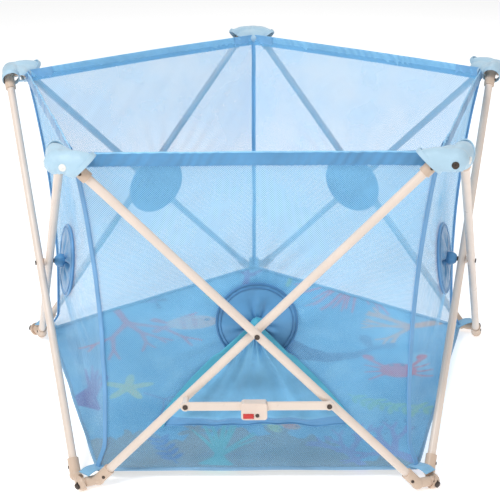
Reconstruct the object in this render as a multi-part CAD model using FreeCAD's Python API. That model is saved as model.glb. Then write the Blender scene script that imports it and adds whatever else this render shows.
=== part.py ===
import FreeCAD, Part
import math
import os

# Pentagonal folding playpen. Millimetres, +Z up.
# The origin is on the ground under the middle of the floor, and the front panel faces -Y.

# Whole object
SIDES = 5
SIDE = 700.0              # corner pivot to corner pivot, along one panel
PIVOT_RISE = 675.0        # foot pivot to top pivot
FOLD_DEG = 38.5           # how far each tube turns from open to folded

# Frame tubes
TUBE_R = 8.5
TUBE_WALL = 1.2
CROSS_GAP = 3.0           # spacer between the two tubes of a panel
CROSS_PIN_R = 3.0
HEAD_R = 5.0              # flat heads of the crossing pins and the lock bar's rivets
HEAD_T = 1.8
HEAD_GAP = 0.1
PIN_CLEARANCE = 0.06

# Corner elbows: a sleeve on the tube, a knee, and a round boss on the corner joint
SLEEVE_R = 11.5
SLEEVE_LENGTH = 34.0
KNEE_R = 12.5
NECK_R = 10.0
KNEE_DEG = 44.0           # turn of the elbow at its knee
KNEE_OFFSET = 21.0        # distance of the corner pivot from the tube's axis
TUBE_IN_SLEEVE = 30.0
BOSS_R = 16.0             # outer boss, a cup
BALL_R = 10.0             # inner boss, a ball in the cup
BALL_CLEARANCE = 0.35
BOSS_GAP = 0.3            # plane of the cup's rim, from the pivot
BALL_NECK_START = 5.6     # where the ball's neck begins, from the pivot
SCREW_R = 2.2
SCREW_HEAD_R = 3.2

# Corner rivets, ball studs that stay level
STUD_BALL_R = 4.5
STUD_SHANK_R = 2.4
STUD_SLOT_CLEARANCE = 0.5
STUD_HEAD_R = 6.5
STUD_HEAD_T = 2.6
STUD_HEAD_GAP = 0.4
SLOT_STEPS = 7

# Lock bar across the lower half of the front panel
LOCK_REACH = 200.0        # crossing pin to each lock rivet, along the tube
ARM_HEIGHT = 18.0
ARM_T = 7.0
ARM_WALL = 1.4
ARM_GAP = 3.5             # outer tube to the arms
LOCK_PIN_R = 3.0
PIN_HEAD_R = 3.8
PIN_HEAD_T = 1.2
LOCK_PIN_DROP = 15.0      # hinge pin below the arms' centre line
HOUSING_LEFT = 31.0       # housing, from the hinge pin
HOUSING_RIGHT = 19.0
HOUSING_TOP = 11.0        # housing, from the arms' centre line
HOUSING_DROP = 26.0
HOUSING_BACK_T = 2.2
HOUSING_FRONT_T = 6.5
HOUSING_WALL = 2.4
HOUSING_ROUND = 1.8
SLOT_CLEARANCE = 0.3
BUTTON_W = 20.0
BUTTON_H = 10.0
BUTTON_LEFT = 17.0        # middle of the button, left of the hinge pin
BUTTON_DROP = 16.5
BUTTON_PROUD = 2.2
BUTTON_FLANGE = 1.2
BUTTON_FLANGE_T = 1.2
BUTTON_SKIN_T = 1.8       # housing wall in front of the button's flange
SPRING_T = 0.3
SPRING_GAP = 0.05
SPRING_SEAT_T = 0.8       # housing wall behind the spring

# Soft parts
FABRIC_T = 2.0
SEAM_INSET = 60.0         # corner seams of the fabric, inward from the corner pivots
FLOOR_T = 2.5
HEM_ABOVE_PIVOT = 8.0
DISC_R = 77.0
DISC_T = 4.0
PATCH_GAP = 5.0           # inner tube to the disc and gusset
GUSSET_HALF_WIDTH = 190.0
GUSSET_DROP = 235.0
CAP_GAP = 7.0             # outer boss to the cap's outside
CAP_LEG_R = 21.0
CAP_LEG_LENGTH = 30.0
CAP_T = 1.5
STRAP_WIDTH = 30.0
STRAP_T = 1.6
SOFT_GAP = 0.5

# Worked out from the sizes above
TURN = 360.0 / SIDES
CORNER_RADIUS = SIDE / (2 * math.sin(math.radians(TURN / 2)))
APOTHEM = SIDE / (2 * math.tan(math.radians(TURN / 2)))
PIVOT_Z = BOSS_R
TOP_Z = PIVOT_Z + PIVOT_RISE
CROSS_Z = PIVOT_Z + PIVOT_RISE / 2
HALF = math.hypot(SIDE, PIVOT_RISE) / 2
LEAN = math.degrees(math.atan2(PIVOT_RISE, SIDE))
SKEW = math.degrees(math.asin(KNEE_OFFSET / HALF))
TUBE_LEAN = LEAN + SKEW
TUBE_OFFSET = TUBE_R + CROSS_GAP / 2
CAP_R = BOSS_R + CAP_GAP
KNEE_REACH = KNEE_OFFSET / math.sin(math.radians(KNEE_DEG))
KNEE_AT = HALF * math.cos(math.radians(SKEW)) - KNEE_REACH * math.cos(math.radians(KNEE_DEG))
FABRIC_APOTHEM = APOTHEM - SEAM_INSET * math.cos(math.radians(TURN / 2))
FABRIC_HALF = (CORNER_RADIUS - SEAM_INSET) * math.sin(math.radians(TURN / 2))
PANELS = ["front", "right", "back_right", "back_left", "left"]
ORIGIN = FreeCAD.Vector(0, 0, 0)
UP = FreeCAD.Vector(0, 0, 1)
POLE = FreeCAD.Vector(0.31, 0.53, 0.79)


def vec(x, y, z):
    return FreeCAD.Vector(x, y, z)


def unit(v):
    return v * (1 / v.Length)


def turned(v, axis, degrees):
    return FreeCAD.Rotation(axis, degrees).multVec(v)


def rod(a, b, r):
    return Part.makeCylinder(r, (b - a).Length, a, b - a)


def ball(centre, r):
    """Sphere whose poles and seam lie off every other feature's axis."""
    return Part.makeSphere(r, centre, POLE)


def box(low, high):
    return Part.makeBox(high.x - low.x, high.y - low.y, high.z - low.z, low)


def prism(points, along):
    face = Part.Face(Part.makePolygon(points + [points[0]]))
    return face.extrude(along)


def fuse(shapes):
    whole = shapes[0].multiFuse(shapes[1:]) if len(shapes) > 1 else shapes[0]
    return whole.removeSplitter()


def round_the_ring(shape, k):
    copy = shape.copy()
    copy.rotate(ORIGIN, UP, TURN * k)
    return copy


def export(name, shapes):
    Part.makeCompound(shapes).exportStep("parts/" + name + ".step")


def outward(k=0):
    return turned(vec(0, -1, 0), UP, TURN * k)


def corner(k, top):
    at = vec(-SIDE / 2, -APOTHEM, TOP_Z if top else PIVOT_Z)
    return turned(at, UP, TURN * k)


def radial(k):
    c = corner(k, False)
    return unit(vec(c.x, c.y, 0))


def tube_direction(outer, top):
    """Direction of a front tube, from its crossing towards one end."""
    a = math.radians(TUBE_LEAN)
    side = -1 if outer == top else 1
    return vec(side * math.cos(a), 0, math.sin(a) * (1 if top else -1))


def tube_centre(outer):
    return vec(0, -APOTHEM - (TUBE_OFFSET if outer else -TUBE_OFFSET), CROSS_Z)


def tube_end_corner(outer, top):
    return 0 if outer == top else 1


def fold_sign(outer):
    """Sense in which a tube turns about its panel's outward normal when the frame folds."""
    return -1 if outer else 1


def knee_of(outer, top):
    return tube_centre(outer) + tube_direction(outer, top) * KNEE_AT


def corner_of(outer, top, k):
    return (k + tube_end_corner(outer, top)) % SIDES


def has_cup(outer, top, k):
    """Which of a corner's two elbows is the cup. The front right foot is assembled the other way."""
    swapped = not top and corner_of(outer, top, k) == 1
    return outer != swapped


def neck_direction(outer, top, k=0):
    c = corner(tube_end_corner(outer, top), top)
    return turned(unit(knee_of(outer, top) - c), UP, TURN * k)


def cup_rim_normal(outer, top):
    """Normal of the cup's rim, away from where the ball's neck passes over the whole fold."""
    other = -1 if tube_end_corner(outer, top) == 0 else 1
    neck = neck_direction(not outer, top, other)
    total = vec(0, 0, 0)
    for q in (0.0, FOLD_DEG):
        moved = turned(neck, outward(other), fold_sign(not outer) * q)
        total = total + turned(moved, outward(), -fold_sign(outer) * q)
    return unit(total) * -1


def stud_slot(c, outer, top):
    """Space that the level stud sweeps inside an elbow as the elbow turns."""
    cuts = []
    for i in range(SLOT_STEPS):
        q = FOLD_DEG * i / (SLOT_STEPS - 1)
        way = turned(radial(tube_end_corner(outer, top)), outward(), -fold_sign(outer) * q)
        cuts.append(rod(c, c + way * (BOSS_R + 6), STUD_SHANK_R + STUD_SLOT_CLEARANCE))
    return fuse(cuts)


def half_space(c, normal, at, size):
    """A block that fills the side of a plane opposite to its normal."""
    block = Part.makeBox(2 * size, 2 * size, size, vec(-size, -size, -size))
    block.Placement = FreeCAD.Placement(c + normal * at, FreeCAD.Rotation(UP, normal))
    return block


def elbow(outer, top, cup):
    """Elbow of a front tube with its screw. Its end is the cup or the ball of the corner joint."""
    c = corner(tube_end_corner(outer, top), top)
    knee = knee_of(outer, top)
    way = tube_direction(outer, top)
    sleeve_end = knee - way * SLEEVE_LENGTH
    arm = fuse([rod(knee, sleeve_end, SLEEVE_R), ball(knee, KNEE_R)])
    socket = rod(knee - way * (SLEEVE_LENGTH - TUBE_IN_SLEEVE), sleeve_end - way, TUBE_R)
    if cup:
        body = fuse([arm, rod(c, knee, NECK_R), ball(c, BOSS_R)])
        back = half_space(c, cup_rim_normal(outer, top), BOSS_GAP, 3 * BOSS_R)
        body = body.cut(back.common(ball(c, BOSS_R + 3)))
        body = body.cut(ball(c, BALL_R + BALL_CLEARANCE))
    else:
        neck = unit(knee - c)
        body = fuse([ball(c, BALL_R), rod(c + neck * BALL_NECK_START, knee, NECK_R)])
        body = fuse([body, arm])
        body = body.cut(ball(c, STUD_BALL_R + PIN_CLEARANCE))
    body = body.cut(stud_slot(c, outer, top)).cut(socket)
    screw_at = knee - way * (SLEEVE_LENGTH / 2)
    face = outward()
    body = body.cut(rod(screw_at, screw_at + face * (SLEEVE_R + 5), SCREW_R))
    screw = fuse([
        rod(screw_at + face * TUBE_R, screw_at + face * (SLEEVE_R + 0.4), SCREW_R),
        rod(screw_at + face * (SLEEVE_R + 0.05), screw_at + face * (SLEEVE_R + 1.3), SCREW_HEAD_R),
    ])
    largest = max(body.Solids, key=lambda s: s.Volume)
    return [largest, screw]


def frame_tube(outer):
    start = tube_centre(outer) + tube_direction(outer, False) * (KNEE_AT - SLEEVE_LENGTH + TUBE_IN_SLEEVE)
    end = tube_centre(outer) + tube_direction(outer, True) * (KNEE_AT - SLEEVE_LENGTH + TUBE_IN_SLEEVE)
    tube = rod(start, end, TUBE_R).cut(rod(start, end, TUBE_R - TUBE_WALL))
    hole_r = CROSS_PIN_R if outer else CROSS_PIN_R + PIN_CLEARANCE
    across = vec(0, 2 * TUBE_R, 0)
    centre = tube_centre(outer)
    tube = tube.cut(rod(centre - across, centre + across, hole_r))
    for top in (False, True):
        at = knee_of(outer, top) - tube_direction(outer, top) * (SLEEVE_LENGTH / 2)
        tube = tube.cut(rod(at, at + outward() * (TUBE_R + 1), SCREW_R))
    return tube


def cross_pin():
    """Rivet through both tubes with its spacer, fixed in the outer tube."""
    y = -APOTHEM
    face = TUBE_OFFSET + TUBE_R + HEAD_GAP
    head = rod(vec(0, y - face, CROSS_Z), vec(0, y - face - HEAD_T, CROSS_Z), HEAD_R)
    shank = rod(vec(0, y - face - 1, CROSS_Z), vec(0, y + face + 1, CROSS_Z), CROSS_PIN_R)
    tail = rod(vec(0, y + face, CROSS_Z), vec(0, y + face + HEAD_T, CROSS_Z), HEAD_R)
    pin = fuse([head, shank, tail])
    gap = CROSS_GAP / 2 - 0.1
    spacer = rod(vec(0, y - gap, CROSS_Z), vec(0, y + gap, CROSS_Z), TUBE_R)
    spacer = spacer.cut(rod(vec(0, y - TUBE_R, CROSS_Z), vec(0, y + TUBE_R, CROSS_Z), CROSS_PIN_R))
    return [pin, spacer]


def corner_rivet(top):
    c = corner(0, top)
    way = radial(0)
    head = ball(c, BOSS_R + STUD_HEAD_GAP + STUD_HEAD_T).cut(ball(c, BOSS_R + STUD_HEAD_GAP))
    head = head.common(rod(c, c + way * (2 * BOSS_R), STUD_HEAD_R))
    shank = rod(c, c + way * (BOSS_R + STUD_HEAD_GAP + STUD_HEAD_T / 2), STUD_SHANK_R)
    return fuse([ball(c, STUD_BALL_R), shank, head])


def lock_y():
    """Back and front of the lock bar's arms, both outward of the outer tube."""
    back = -APOTHEM - TUBE_OFFSET - TUBE_R - ARM_GAP
    return back, back - ARM_T


def lock_line_z():
    return CROSS_Z - LOCK_REACH * math.sin(math.radians(TUBE_LEAN))


def lock_half():
    return LOCK_REACH * math.cos(math.radians(TUBE_LEAN))


def block(x0, x1, y0, y1, z0, z1):
    low = vec(min(x0, x1), min(y0, y1), min(z0, z1))
    high = vec(max(x0, x1), max(y0, y1), max(z0, z1))
    return box(low, high)


def rounded_along_x(shape, r, shortest):
    long_edges = [e for e in shape.Edges if e.Length > shortest and abs(e.tangentAt(e.FirstParameter).x) > 0.999]
    return shape.makeFillet(r, long_edges)


def lock_arm_bar(x_rivet, x_end):
    """Flattened tube from its rivet to its inner end, with a hole for the rivet."""
    back, front = lock_y()
    z = lock_line_z()
    h = ARM_HEIGHT / 2
    way = 1 if x_end > x_rivet else -1
    bar = block(x_rivet, x_end, back, front, z - h, z + h)
    bar = rounded_along_x(bar, ARM_T * 0.4, abs(x_end - x_rivet) * 0.9)
    inner = block(x_rivet + way * 2 * h, x_end + way, back - ARM_WALL, front + ARM_WALL,
                  z - h + ARM_WALL, z + h - ARM_WALL)
    inner = rounded_along_x(inner, ARM_T * 0.2, abs(x_end - x_rivet) * 0.5)
    eye = rod(vec(x_rivet, back, z), vec(x_rivet, front, z), h)
    return fuse([bar, eye]).cut(inner)


def lock_arm_left():
    back, front = lock_y()
    z = lock_line_z()
    arm = lock_arm_bar(-lock_half(), -HOUSING_LEFT + 2 * HOUSING_WALL)
    plug = block(-HOUSING_LEFT, -HOUSING_LEFT + 2 * HOUSING_WALL, back - ARM_WALL, front + ARM_WALL,
                 z - ARM_HEIGHT / 2 + ARM_WALL, z + ARM_HEIGHT / 2 - ARM_WALL)
    hole = rod(vec(-lock_half(), back + 1, z), vec(-lock_half(), front - 1, z), LOCK_PIN_R + PIN_CLEARANCE)
    return fuse([arm, plug]).cut(hole)


def lock_arm_right():
    back, front = lock_y()
    z = lock_line_z()
    pin = vec(0, back, z - LOCK_PIN_DROP)
    arm = lock_arm_bar(lock_half(), HOUSING_RIGHT)
    tongue_top = z + ARM_HEIGHT / 2 - 3
    tongue = block(-LOCK_PIN_R - 4, HOUSING_RIGHT + 3, back, front, z - ARM_HEIGHT / 2, tongue_top)
    lug = rod(pin, vec(0, front, pin.z), LOCK_PIN_R + 4)
    web = block(-LOCK_PIN_R - 4, LOCK_PIN_R + 4, back, front, pin.z, z)
    arm = fuse([arm, tongue, lug, web])
    arm = arm.cut(rod(pin + vec(0, 1, 0), vec(0, front - 1, pin.z), LOCK_PIN_R + PIN_CLEARANCE))
    rivet_hole = rod(vec(lock_half(), back + 1, z), vec(lock_half(), front - 1, z), LOCK_PIN_R)
    return arm.cut(rivet_hole)


def lock_housing():
    back, front = lock_y()
    z = lock_line_z()
    slot_back = back + SLOT_CLEARANCE
    slot_front = front - SLOT_CLEARANCE
    top = z + HOUSING_TOP
    low = z - HOUSING_DROP
    body = block(-HOUSING_LEFT, HOUSING_RIGHT, slot_back + HOUSING_BACK_T, slot_front - HOUSING_FRONT_T, low, top)
    depth_edges = [e for e in body.Edges if abs(e.tangentAt(e.FirstParameter).y) > 0.999]
    body = body.makeFillet(6.0, depth_edges)
    face_y = slot_front - HOUSING_FRONT_T
    rim = [e for e in body.Edges if abs(e.BoundBox.YMin - face_y) < 1e-6 and abs(e.BoundBox.YMax - face_y) < 1e-6]
    body = body.makeFillet(HOUSING_ROUND, rim)
    channel = block(-HOUSING_LEFT + HOUSING_WALL, HOUSING_RIGHT + 1, slot_back, slot_front,
                    low - 1, top - HOUSING_WALL)
    exit_low = z - ARM_HEIGHT / 2 - 1
    arm_exit = block(-HOUSING_LEFT - 1, -HOUSING_LEFT + HOUSING_WALL + 1, slot_back, slot_front, low - 1, exit_low)
    arm_fit = block(-HOUSING_LEFT - 1, -HOUSING_LEFT + HOUSING_WALL + 1, back, front,
                    exit_low, z + ARM_HEIGHT / 2)
    pin_z = z - LOCK_PIN_DROP
    pin_hole = rod(vec(0, slot_back + 20, pin_z), vec(0, slot_front - 20, pin_z), LOCK_PIN_R)
    body = body.cut(channel).cut(arm_exit).cut(arm_fit).cut(pin_hole)
    bx, bz = -BUTTON_LEFT, z - BUTTON_DROP
    gap = SLOT_CLEARANCE
    window = block(bx - BUTTON_W / 2 - gap, bx + BUTTON_W / 2 + gap, slot_front - 20, slot_front - 1,
                   bz - BUTTON_H / 2 - gap, bz + BUTTON_H / 2 + gap)
    f = BUTTON_FLANGE + gap
    pocket = block(bx - BUTTON_W / 2 - f, bx + BUTTON_W / 2 + f, button_flange_front() - gap, slot_front - SPRING_SEAT_T,
                   bz - BUTTON_H / 2 - f, bz + BUTTON_H / 2 + f)
    return body.cut(window).cut(pocket)


def button_flange_front():
    slot_front = lock_y()[1] - SLOT_CLEARANCE
    return slot_front - HOUSING_FRONT_T + BUTTON_SKIN_T


def lock_button():
    bx, bz = -BUTTON_LEFT, lock_line_z() - BUTTON_DROP
    face = lock_y()[1] - SLOT_CLEARANCE - HOUSING_FRONT_T - BUTTON_PROUD
    flange_front = button_flange_front()
    cap = block(bx - BUTTON_W / 2, bx + BUTTON_W / 2, face, flange_front + 1, bz - BUTTON_H / 2, bz + BUTTON_H / 2)
    cap = cap.makeFillet(1.5, [e for e in cap.Edges if e.BoundBox.YMax < face + 1e-6])
    f = BUTTON_FLANGE
    flange = block(bx - BUTTON_W / 2 - f, bx + BUTTON_W / 2 + f, flange_front, flange_front + BUTTON_FLANGE_T,
                   bz - BUTTON_H / 2 - f, bz + BUTTON_H / 2 + f)
    return fuse([cap, flange])


def button_spring():
    """Bow of spring strip behind the button."""
    bx, bz = -BUTTON_LEFT, lock_line_z() - BUTTON_DROP
    y_front = button_flange_front() + BUTTON_FLANGE_T + SPRING_GAP
    y_back = lock_y()[1] - SLOT_CLEARANCE - SPRING_SEAT_T - SPRING_GAP
    half = BUTTON_W / 2 - 1.5
    outer = Part.Arc(vec(bx - half, y_back, bz), vec(bx, y_front, bz), vec(bx + half, y_back, bz)).toShape()
    inner = Part.Arc(vec(bx - half + SPRING_T, y_back, bz), vec(bx, y_front + SPRING_T, bz),
                     vec(bx + half - SPRING_T, y_back, bz)).toShape()
    ends = [Part.LineSegment(vec(bx + s * half, y_back, bz), vec(bx + s * (half - SPRING_T), y_back, bz)).toShape()
            for s in (-1, 1)]
    face = Part.Face(Part.Wire(Part.__sortEdges__([outer, inner] + ends)))
    strip = face.extrude(vec(0, 0, BUTTON_H * 0.5))
    strip.translate(vec(0, 0, -BUTTON_H * 0.25))
    return strip


def lock_rivet_left():
    """Rivet fixed in the inner tube, with the long spacer that brings the arm clear of both tubes."""
    back, front = lock_y()
    x, z = -lock_half(), lock_line_z()
    inner_face = -APOTHEM + TUBE_OFFSET - TUBE_R
    tail_y = -APOTHEM + TUBE_OFFSET + TUBE_R + HEAD_GAP
    shank = rod(vec(x, tail_y + 1, z), vec(x, front - HEAD_GAP - 1, z), LOCK_PIN_R)
    head = rod(vec(x, front - HEAD_GAP, z), vec(x, front - HEAD_GAP - HEAD_T, z), HEAD_R)
    tail = rod(vec(x, tail_y, z), vec(x, tail_y + HEAD_T, z), HEAD_R)
    spacer = rod(vec(x, inner_face, z), vec(x, back + HEAD_GAP, z), HEAD_R + 1)
    spacer = spacer.cut(rod(vec(x, 0, z), vec(x, 2 * back, z), LOCK_PIN_R))
    tube = rod(vec(x, inner_face + TUBE_R, z) - tube_direction(False, False) * 20,
               vec(x, inner_face + TUBE_R, z) + tube_direction(False, False) * 20, TUBE_R)
    return [fuse([shank, head, tail]), spacer.cut(tube)]


def lock_rivet_right():
    back, front = lock_y()
    x, z = lock_half(), lock_line_z()
    shank = rod(vec(x, back + ARM_GAP - 3 * HEAD_GAP, z), vec(x, front - HEAD_GAP - 1, z), LOCK_PIN_R)
    head = rod(vec(x, front - HEAD_GAP, z), vec(x, front - HEAD_GAP - HEAD_T, z), HEAD_R)
    washer = rod(vec(x, back + ARM_GAP - 3 * HEAD_GAP, z), vec(x, back + HEAD_GAP, z), HEAD_R + 1)
    return fuse([shank, head, washer])


def lock_hinge_pin():
    back, front = lock_y()
    z = lock_line_z() - LOCK_PIN_DROP
    front_y = front - SLOT_CLEARANCE - HOUSING_FRONT_T
    shank = rod(vec(0, back + SLOT_CLEARANCE + HOUSING_BACK_T, z), vec(0, front_y - 0.5, z), LOCK_PIN_R)
    head = rod(vec(0, front_y, z), vec(0, front_y - PIN_HEAD_T, z), PIN_HEAD_R)
    return fuse([shank, head])


def wall(k):
    """One mesh side with its hem, the disc sewn outside it, the front side's gusset, and a corner's cap."""
    y = -FABRIC_APOTHEM
    half = FABRIC_HALF - FABRIC_T * math.tan(math.radians(TURN / 2)) - SOFT_GAP
    low = FLOOR_T + SOFT_GAP
    sheet = block(-half, half, y, y + FABRIC_T, low, TOP_Z + HEM_ABOVE_PIVOT)
    face_y = -APOTHEM + TUBE_OFFSET + TUBE_R + PATCH_GAP
    disc = rod(vec(0, face_y, CROSS_Z), vec(0, face_y + DISC_T, CROSS_Z), DISC_R)
    stem = rod(vec(0, face_y + DISC_T - 1, CROSS_Z), vec(0, y + 1, CROSS_Z), HEAD_R)
    panel = fuse([sheet, disc, stem] + (gusset(y) if k == 0 else []))
    return [round_the_ring(panel, k), round_the_ring(corner_cap(), k)]


def gusset(y):
    """Triangle of fabric between the front panel's lower legs, and the seam that holds its foot."""
    low_z = CROSS_Z - GUSSET_DROP
    w = GUSSET_HALF_WIDTH
    sheet = prism([vec(-w, y - 2 * FABRIC_T, low_z), vec(w, y - 2 * FABRIC_T, low_z),
                   vec(0, y - 2 * FABRIC_T, CROSS_Z)], vec(0, FABRIC_T, 0))
    seam = block(-w * 0.6, w * 0.6, y - FABRIC_T - 1, y + 1, low_z, low_z + 10)
    return [sheet, seam]


def corner_cap():
    """Fabric cup over the first top corner, open round both elbows and underneath."""
    c = corner(0, True)
    outer = [ball(c, CAP_R)]
    inner = [ball(c, CAP_R - CAP_T)]
    for is_outer, k in ((True, 0), (False, SIDES - 1)):
        way = neck_direction(is_outer, True, k)
        outer.append(rod(c, c + way * CAP_LEG_LENGTH, CAP_LEG_R))
        inner.append(rod(c, c + way * (CAP_LEG_LENGTH + 1), CAP_LEG_R - CAP_T))
    return fuse(outer).cut(fuse(inner))


def corner_strap(k):
    """Webbing tab from the fabric's bottom corner to the foot joint."""
    c = corner(0, False)
    way = radial(0)
    side = UP.cross(way)
    z = c.z + BOSS_R + STUD_HEAD_T
    start = c - way * (SEAM_INSET - SOFT_GAP)
    end = c - way * 6
    w = STRAP_WIDTH / 2
    corners = [start + side * w, start - side * w, end - side * w, end + side * w]
    tab = prism([vec(p.x, p.y, z) for p in corners], vec(0, 0, STRAP_T))
    return round_the_ring(tab, k)


def floor_gore(k):
    """One fifth of the floor, hinged along the foot of its wall."""
    edge = FABRIC_APOTHEM - FABRIC_T - SOFT_GAP
    half = edge * math.tan(math.radians(TURN / 2)) - SOFT_GAP
    tip = SOFT_GAP / math.sin(math.radians(TURN / 2))
    gore = prism([vec(-half, -edge, 0), vec(half, -edge, 0), vec(0, -tip, 0)], vec(0, 0, FLOOR_T))
    return round_the_ring(gore, k)


def build():
    os.makedirs("parts", exist_ok=True)
    for k, panel in enumerate(PANELS):
        for outer in (True, False):
            kind = "outer" if outer else "inner"
            tube = frame_tube(outer)
            if k == 0 and not outer:
                tube = tube.cut(lock_rivet_left()[0])
            export("tube_" + panel + "_" + kind, [round_the_ring(tube, k)])
            pair = elbow(outer, True, has_cup(outer, True, k)) + elbow(outer, False, has_cup(outer, False, k))
            export("elbows_" + panel + "_" + kind, [round_the_ring(s, k) for s in pair])
        export("cross_pin_" + panel, [round_the_ring(s, k) for s in cross_pin()])
        export("top_rivet_" + panel, [round_the_ring(corner_rivet(True), k)])
        export("foot_rivet_" + panel, [round_the_ring(corner_rivet(False), k)])
        export("wall_" + panel, wall(k))
        export("floor_gore_" + panel, [floor_gore(k)])
        export("corner_strap_" + panel, [corner_strap(k)])
    export("lock_arm_left", [lock_arm_left()])
    export("lock_arm_right", [lock_arm_right()])
    export("lock_housing", [lock_housing()])
    export("lock_button", [lock_button()])
    export("lock_button_spring", [button_spring()])
    export("lock_rivet_left", lock_rivet_left())
    export("lock_rivet_right", [lock_rivet_right()])
    export("lock_hinge_pin", [lock_hinge_pin()])


build()
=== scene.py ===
import math

import bmesh
import bpy
import numpy as np
from mathutils import Matrix, Vector
from mathutils.bvhtree import BVHTree


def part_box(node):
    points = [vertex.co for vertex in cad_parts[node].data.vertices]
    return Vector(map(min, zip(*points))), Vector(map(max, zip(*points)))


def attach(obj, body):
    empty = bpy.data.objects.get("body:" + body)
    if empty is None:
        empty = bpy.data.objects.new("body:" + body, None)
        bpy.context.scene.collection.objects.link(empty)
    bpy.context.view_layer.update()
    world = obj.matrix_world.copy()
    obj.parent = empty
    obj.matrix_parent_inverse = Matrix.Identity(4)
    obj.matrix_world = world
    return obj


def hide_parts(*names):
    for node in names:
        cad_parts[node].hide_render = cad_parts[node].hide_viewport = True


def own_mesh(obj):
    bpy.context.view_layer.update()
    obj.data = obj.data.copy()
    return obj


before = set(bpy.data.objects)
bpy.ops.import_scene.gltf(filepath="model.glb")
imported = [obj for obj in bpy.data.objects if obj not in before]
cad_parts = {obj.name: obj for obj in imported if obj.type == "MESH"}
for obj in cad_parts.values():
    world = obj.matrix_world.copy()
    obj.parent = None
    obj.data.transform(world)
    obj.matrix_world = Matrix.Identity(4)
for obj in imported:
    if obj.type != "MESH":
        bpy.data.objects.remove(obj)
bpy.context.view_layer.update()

# A folding playpen with five sides. Metres, +Z up, front panel towards -Y.
# A panel's own coordinates are s, along it and to the right seen from outside,
# o, outward from the pen's vertical axis, and z, up.
SIDES = 5
TURN = 2 * math.pi / SIDES
PANELS = ["front", "right", "back_right", "back_left", "left"]
CORNERS = ["front_left", "front_right", "right", "back", "left"]


def middle(node):
    low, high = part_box(node)
    return (low + high) / 2


APOTHEM = -middle("cross_pin_front").y
CROSS_Z = middle("cross_pin_front").z
FOOT_Z = middle("foot_rivet_front").z
TOP_Z = 2 * CROSS_Z - FOOT_Z
SIDE = 2 * APOTHEM * math.tan(TURN / 2)
TUBE_OFFSET = 0.010                # a panel's tubes, outward and inward of its middle plane
TUBE_LEAN = math.radians(46.4)

# Fabric
SEAM_TOP = 0.042                   # the same, as they hang: at the top, at the foot and their bow
SEAM_FOOT = 0.062
SEAM_BOW = 0.029
SEAM_PULL = 0.020                  # the foot of a seam is pulled out towards its strap
HEM_TOP = TOP_Z + 0.007
HEM_HEIGHT = 0.027
HEM_THICKNESS = 0.0036
PIPING_Z = 0.0235
PIPING_R = 0.0036
BINDING_WIDTH = 0.0105
BINDING_T = 0.0030
DISC_R = 0.077
DISC_BACK = 0.048                  # middle of the disc, inside the panel's middle plane
DISC_TILT = math.radians(9)
DISC_CROWN = 0.0085
GUSSET_HALF = 0.190
GUSSET_LOW = 0.121
GUSSET_BACK = 0.0245               # gusset, inside the middle plane
FLOOR_Z = 0.0035
FLOOR_RISE = 0.016
FLOOR_RISE_WIDTH = 0.075
CAP_BAND_WIDTH = 0.0095
STRAP_WIDTH = 0.030
MOUTH_LONG = 0.0292                # half-widths of the mouth of a cap's sleeve
MOUTH_SHORT = 0.0192


# ---------------------------------------------------------------- places

def place(k, s, o, z):
    """Points of panel k, from arrays or numbers s, o and z, as an array (..., 3)."""
    a = k * TURN
    s, o, z = np.broadcast_arrays(*[np.asarray(v, float) for v in (s, o, z)])
    x = s * math.cos(a) + o * math.sin(a)
    y = s * math.sin(a) - o * math.cos(a)
    return np.stack([x, y, z], axis=-1)


def along(k):
    return Vector((math.cos(k * TURN), math.sin(k * TURN), 0))


def outward(k):
    return Vector((math.sin(k * TURN), -math.cos(k * TURN), 0))


def corner(k, z):
    return Vector(place(k, -SIDE / 2, APOTHEM, z))


def radial(k):
    return (corner(k, 0)).normalized()


def smooth_step(t):
    t = np.clip(t, 0, 1)
    return t * t * (3 - 2 * t)


def seam_inset(z):
    """How far inside the corner pivots the corner seams hang at a height."""
    t = (np.asarray(z, float) - FOOT_Z) / (TOP_Z - FOOT_Z)
    bow = SEAM_BOW * 4 * t * (1 - t)
    pull = SEAM_PULL * (1 - smooth_step((np.asarray(z, float) - PIPING_Z) / 0.05))
    return SEAM_FOOT + (SEAM_TOP - SEAM_FOOT) * t + bow - pull


def waves(x, y, seed, octaves=3):
    """Smooth irregular waves of about -1 to 1; x and y count in wavelengths."""
    total = np.zeros(np.broadcast(x, y).shape)
    rng = np.random.default_rng(seed)
    for i in range(octaves):
        for _ in range(3):
            turn = rng.uniform(0, 2 * math.pi)
            phase = rng.uniform(0, 2 * math.pi)
            f = 2 * math.pi * 1.7 ** i
            total = total + np.sin(f * (x * math.cos(turn) + y * math.sin(turn)) + phase) / 1.6 ** i
    return total / 3.2


# ---------------------------------------------------------------- meshes

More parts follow.
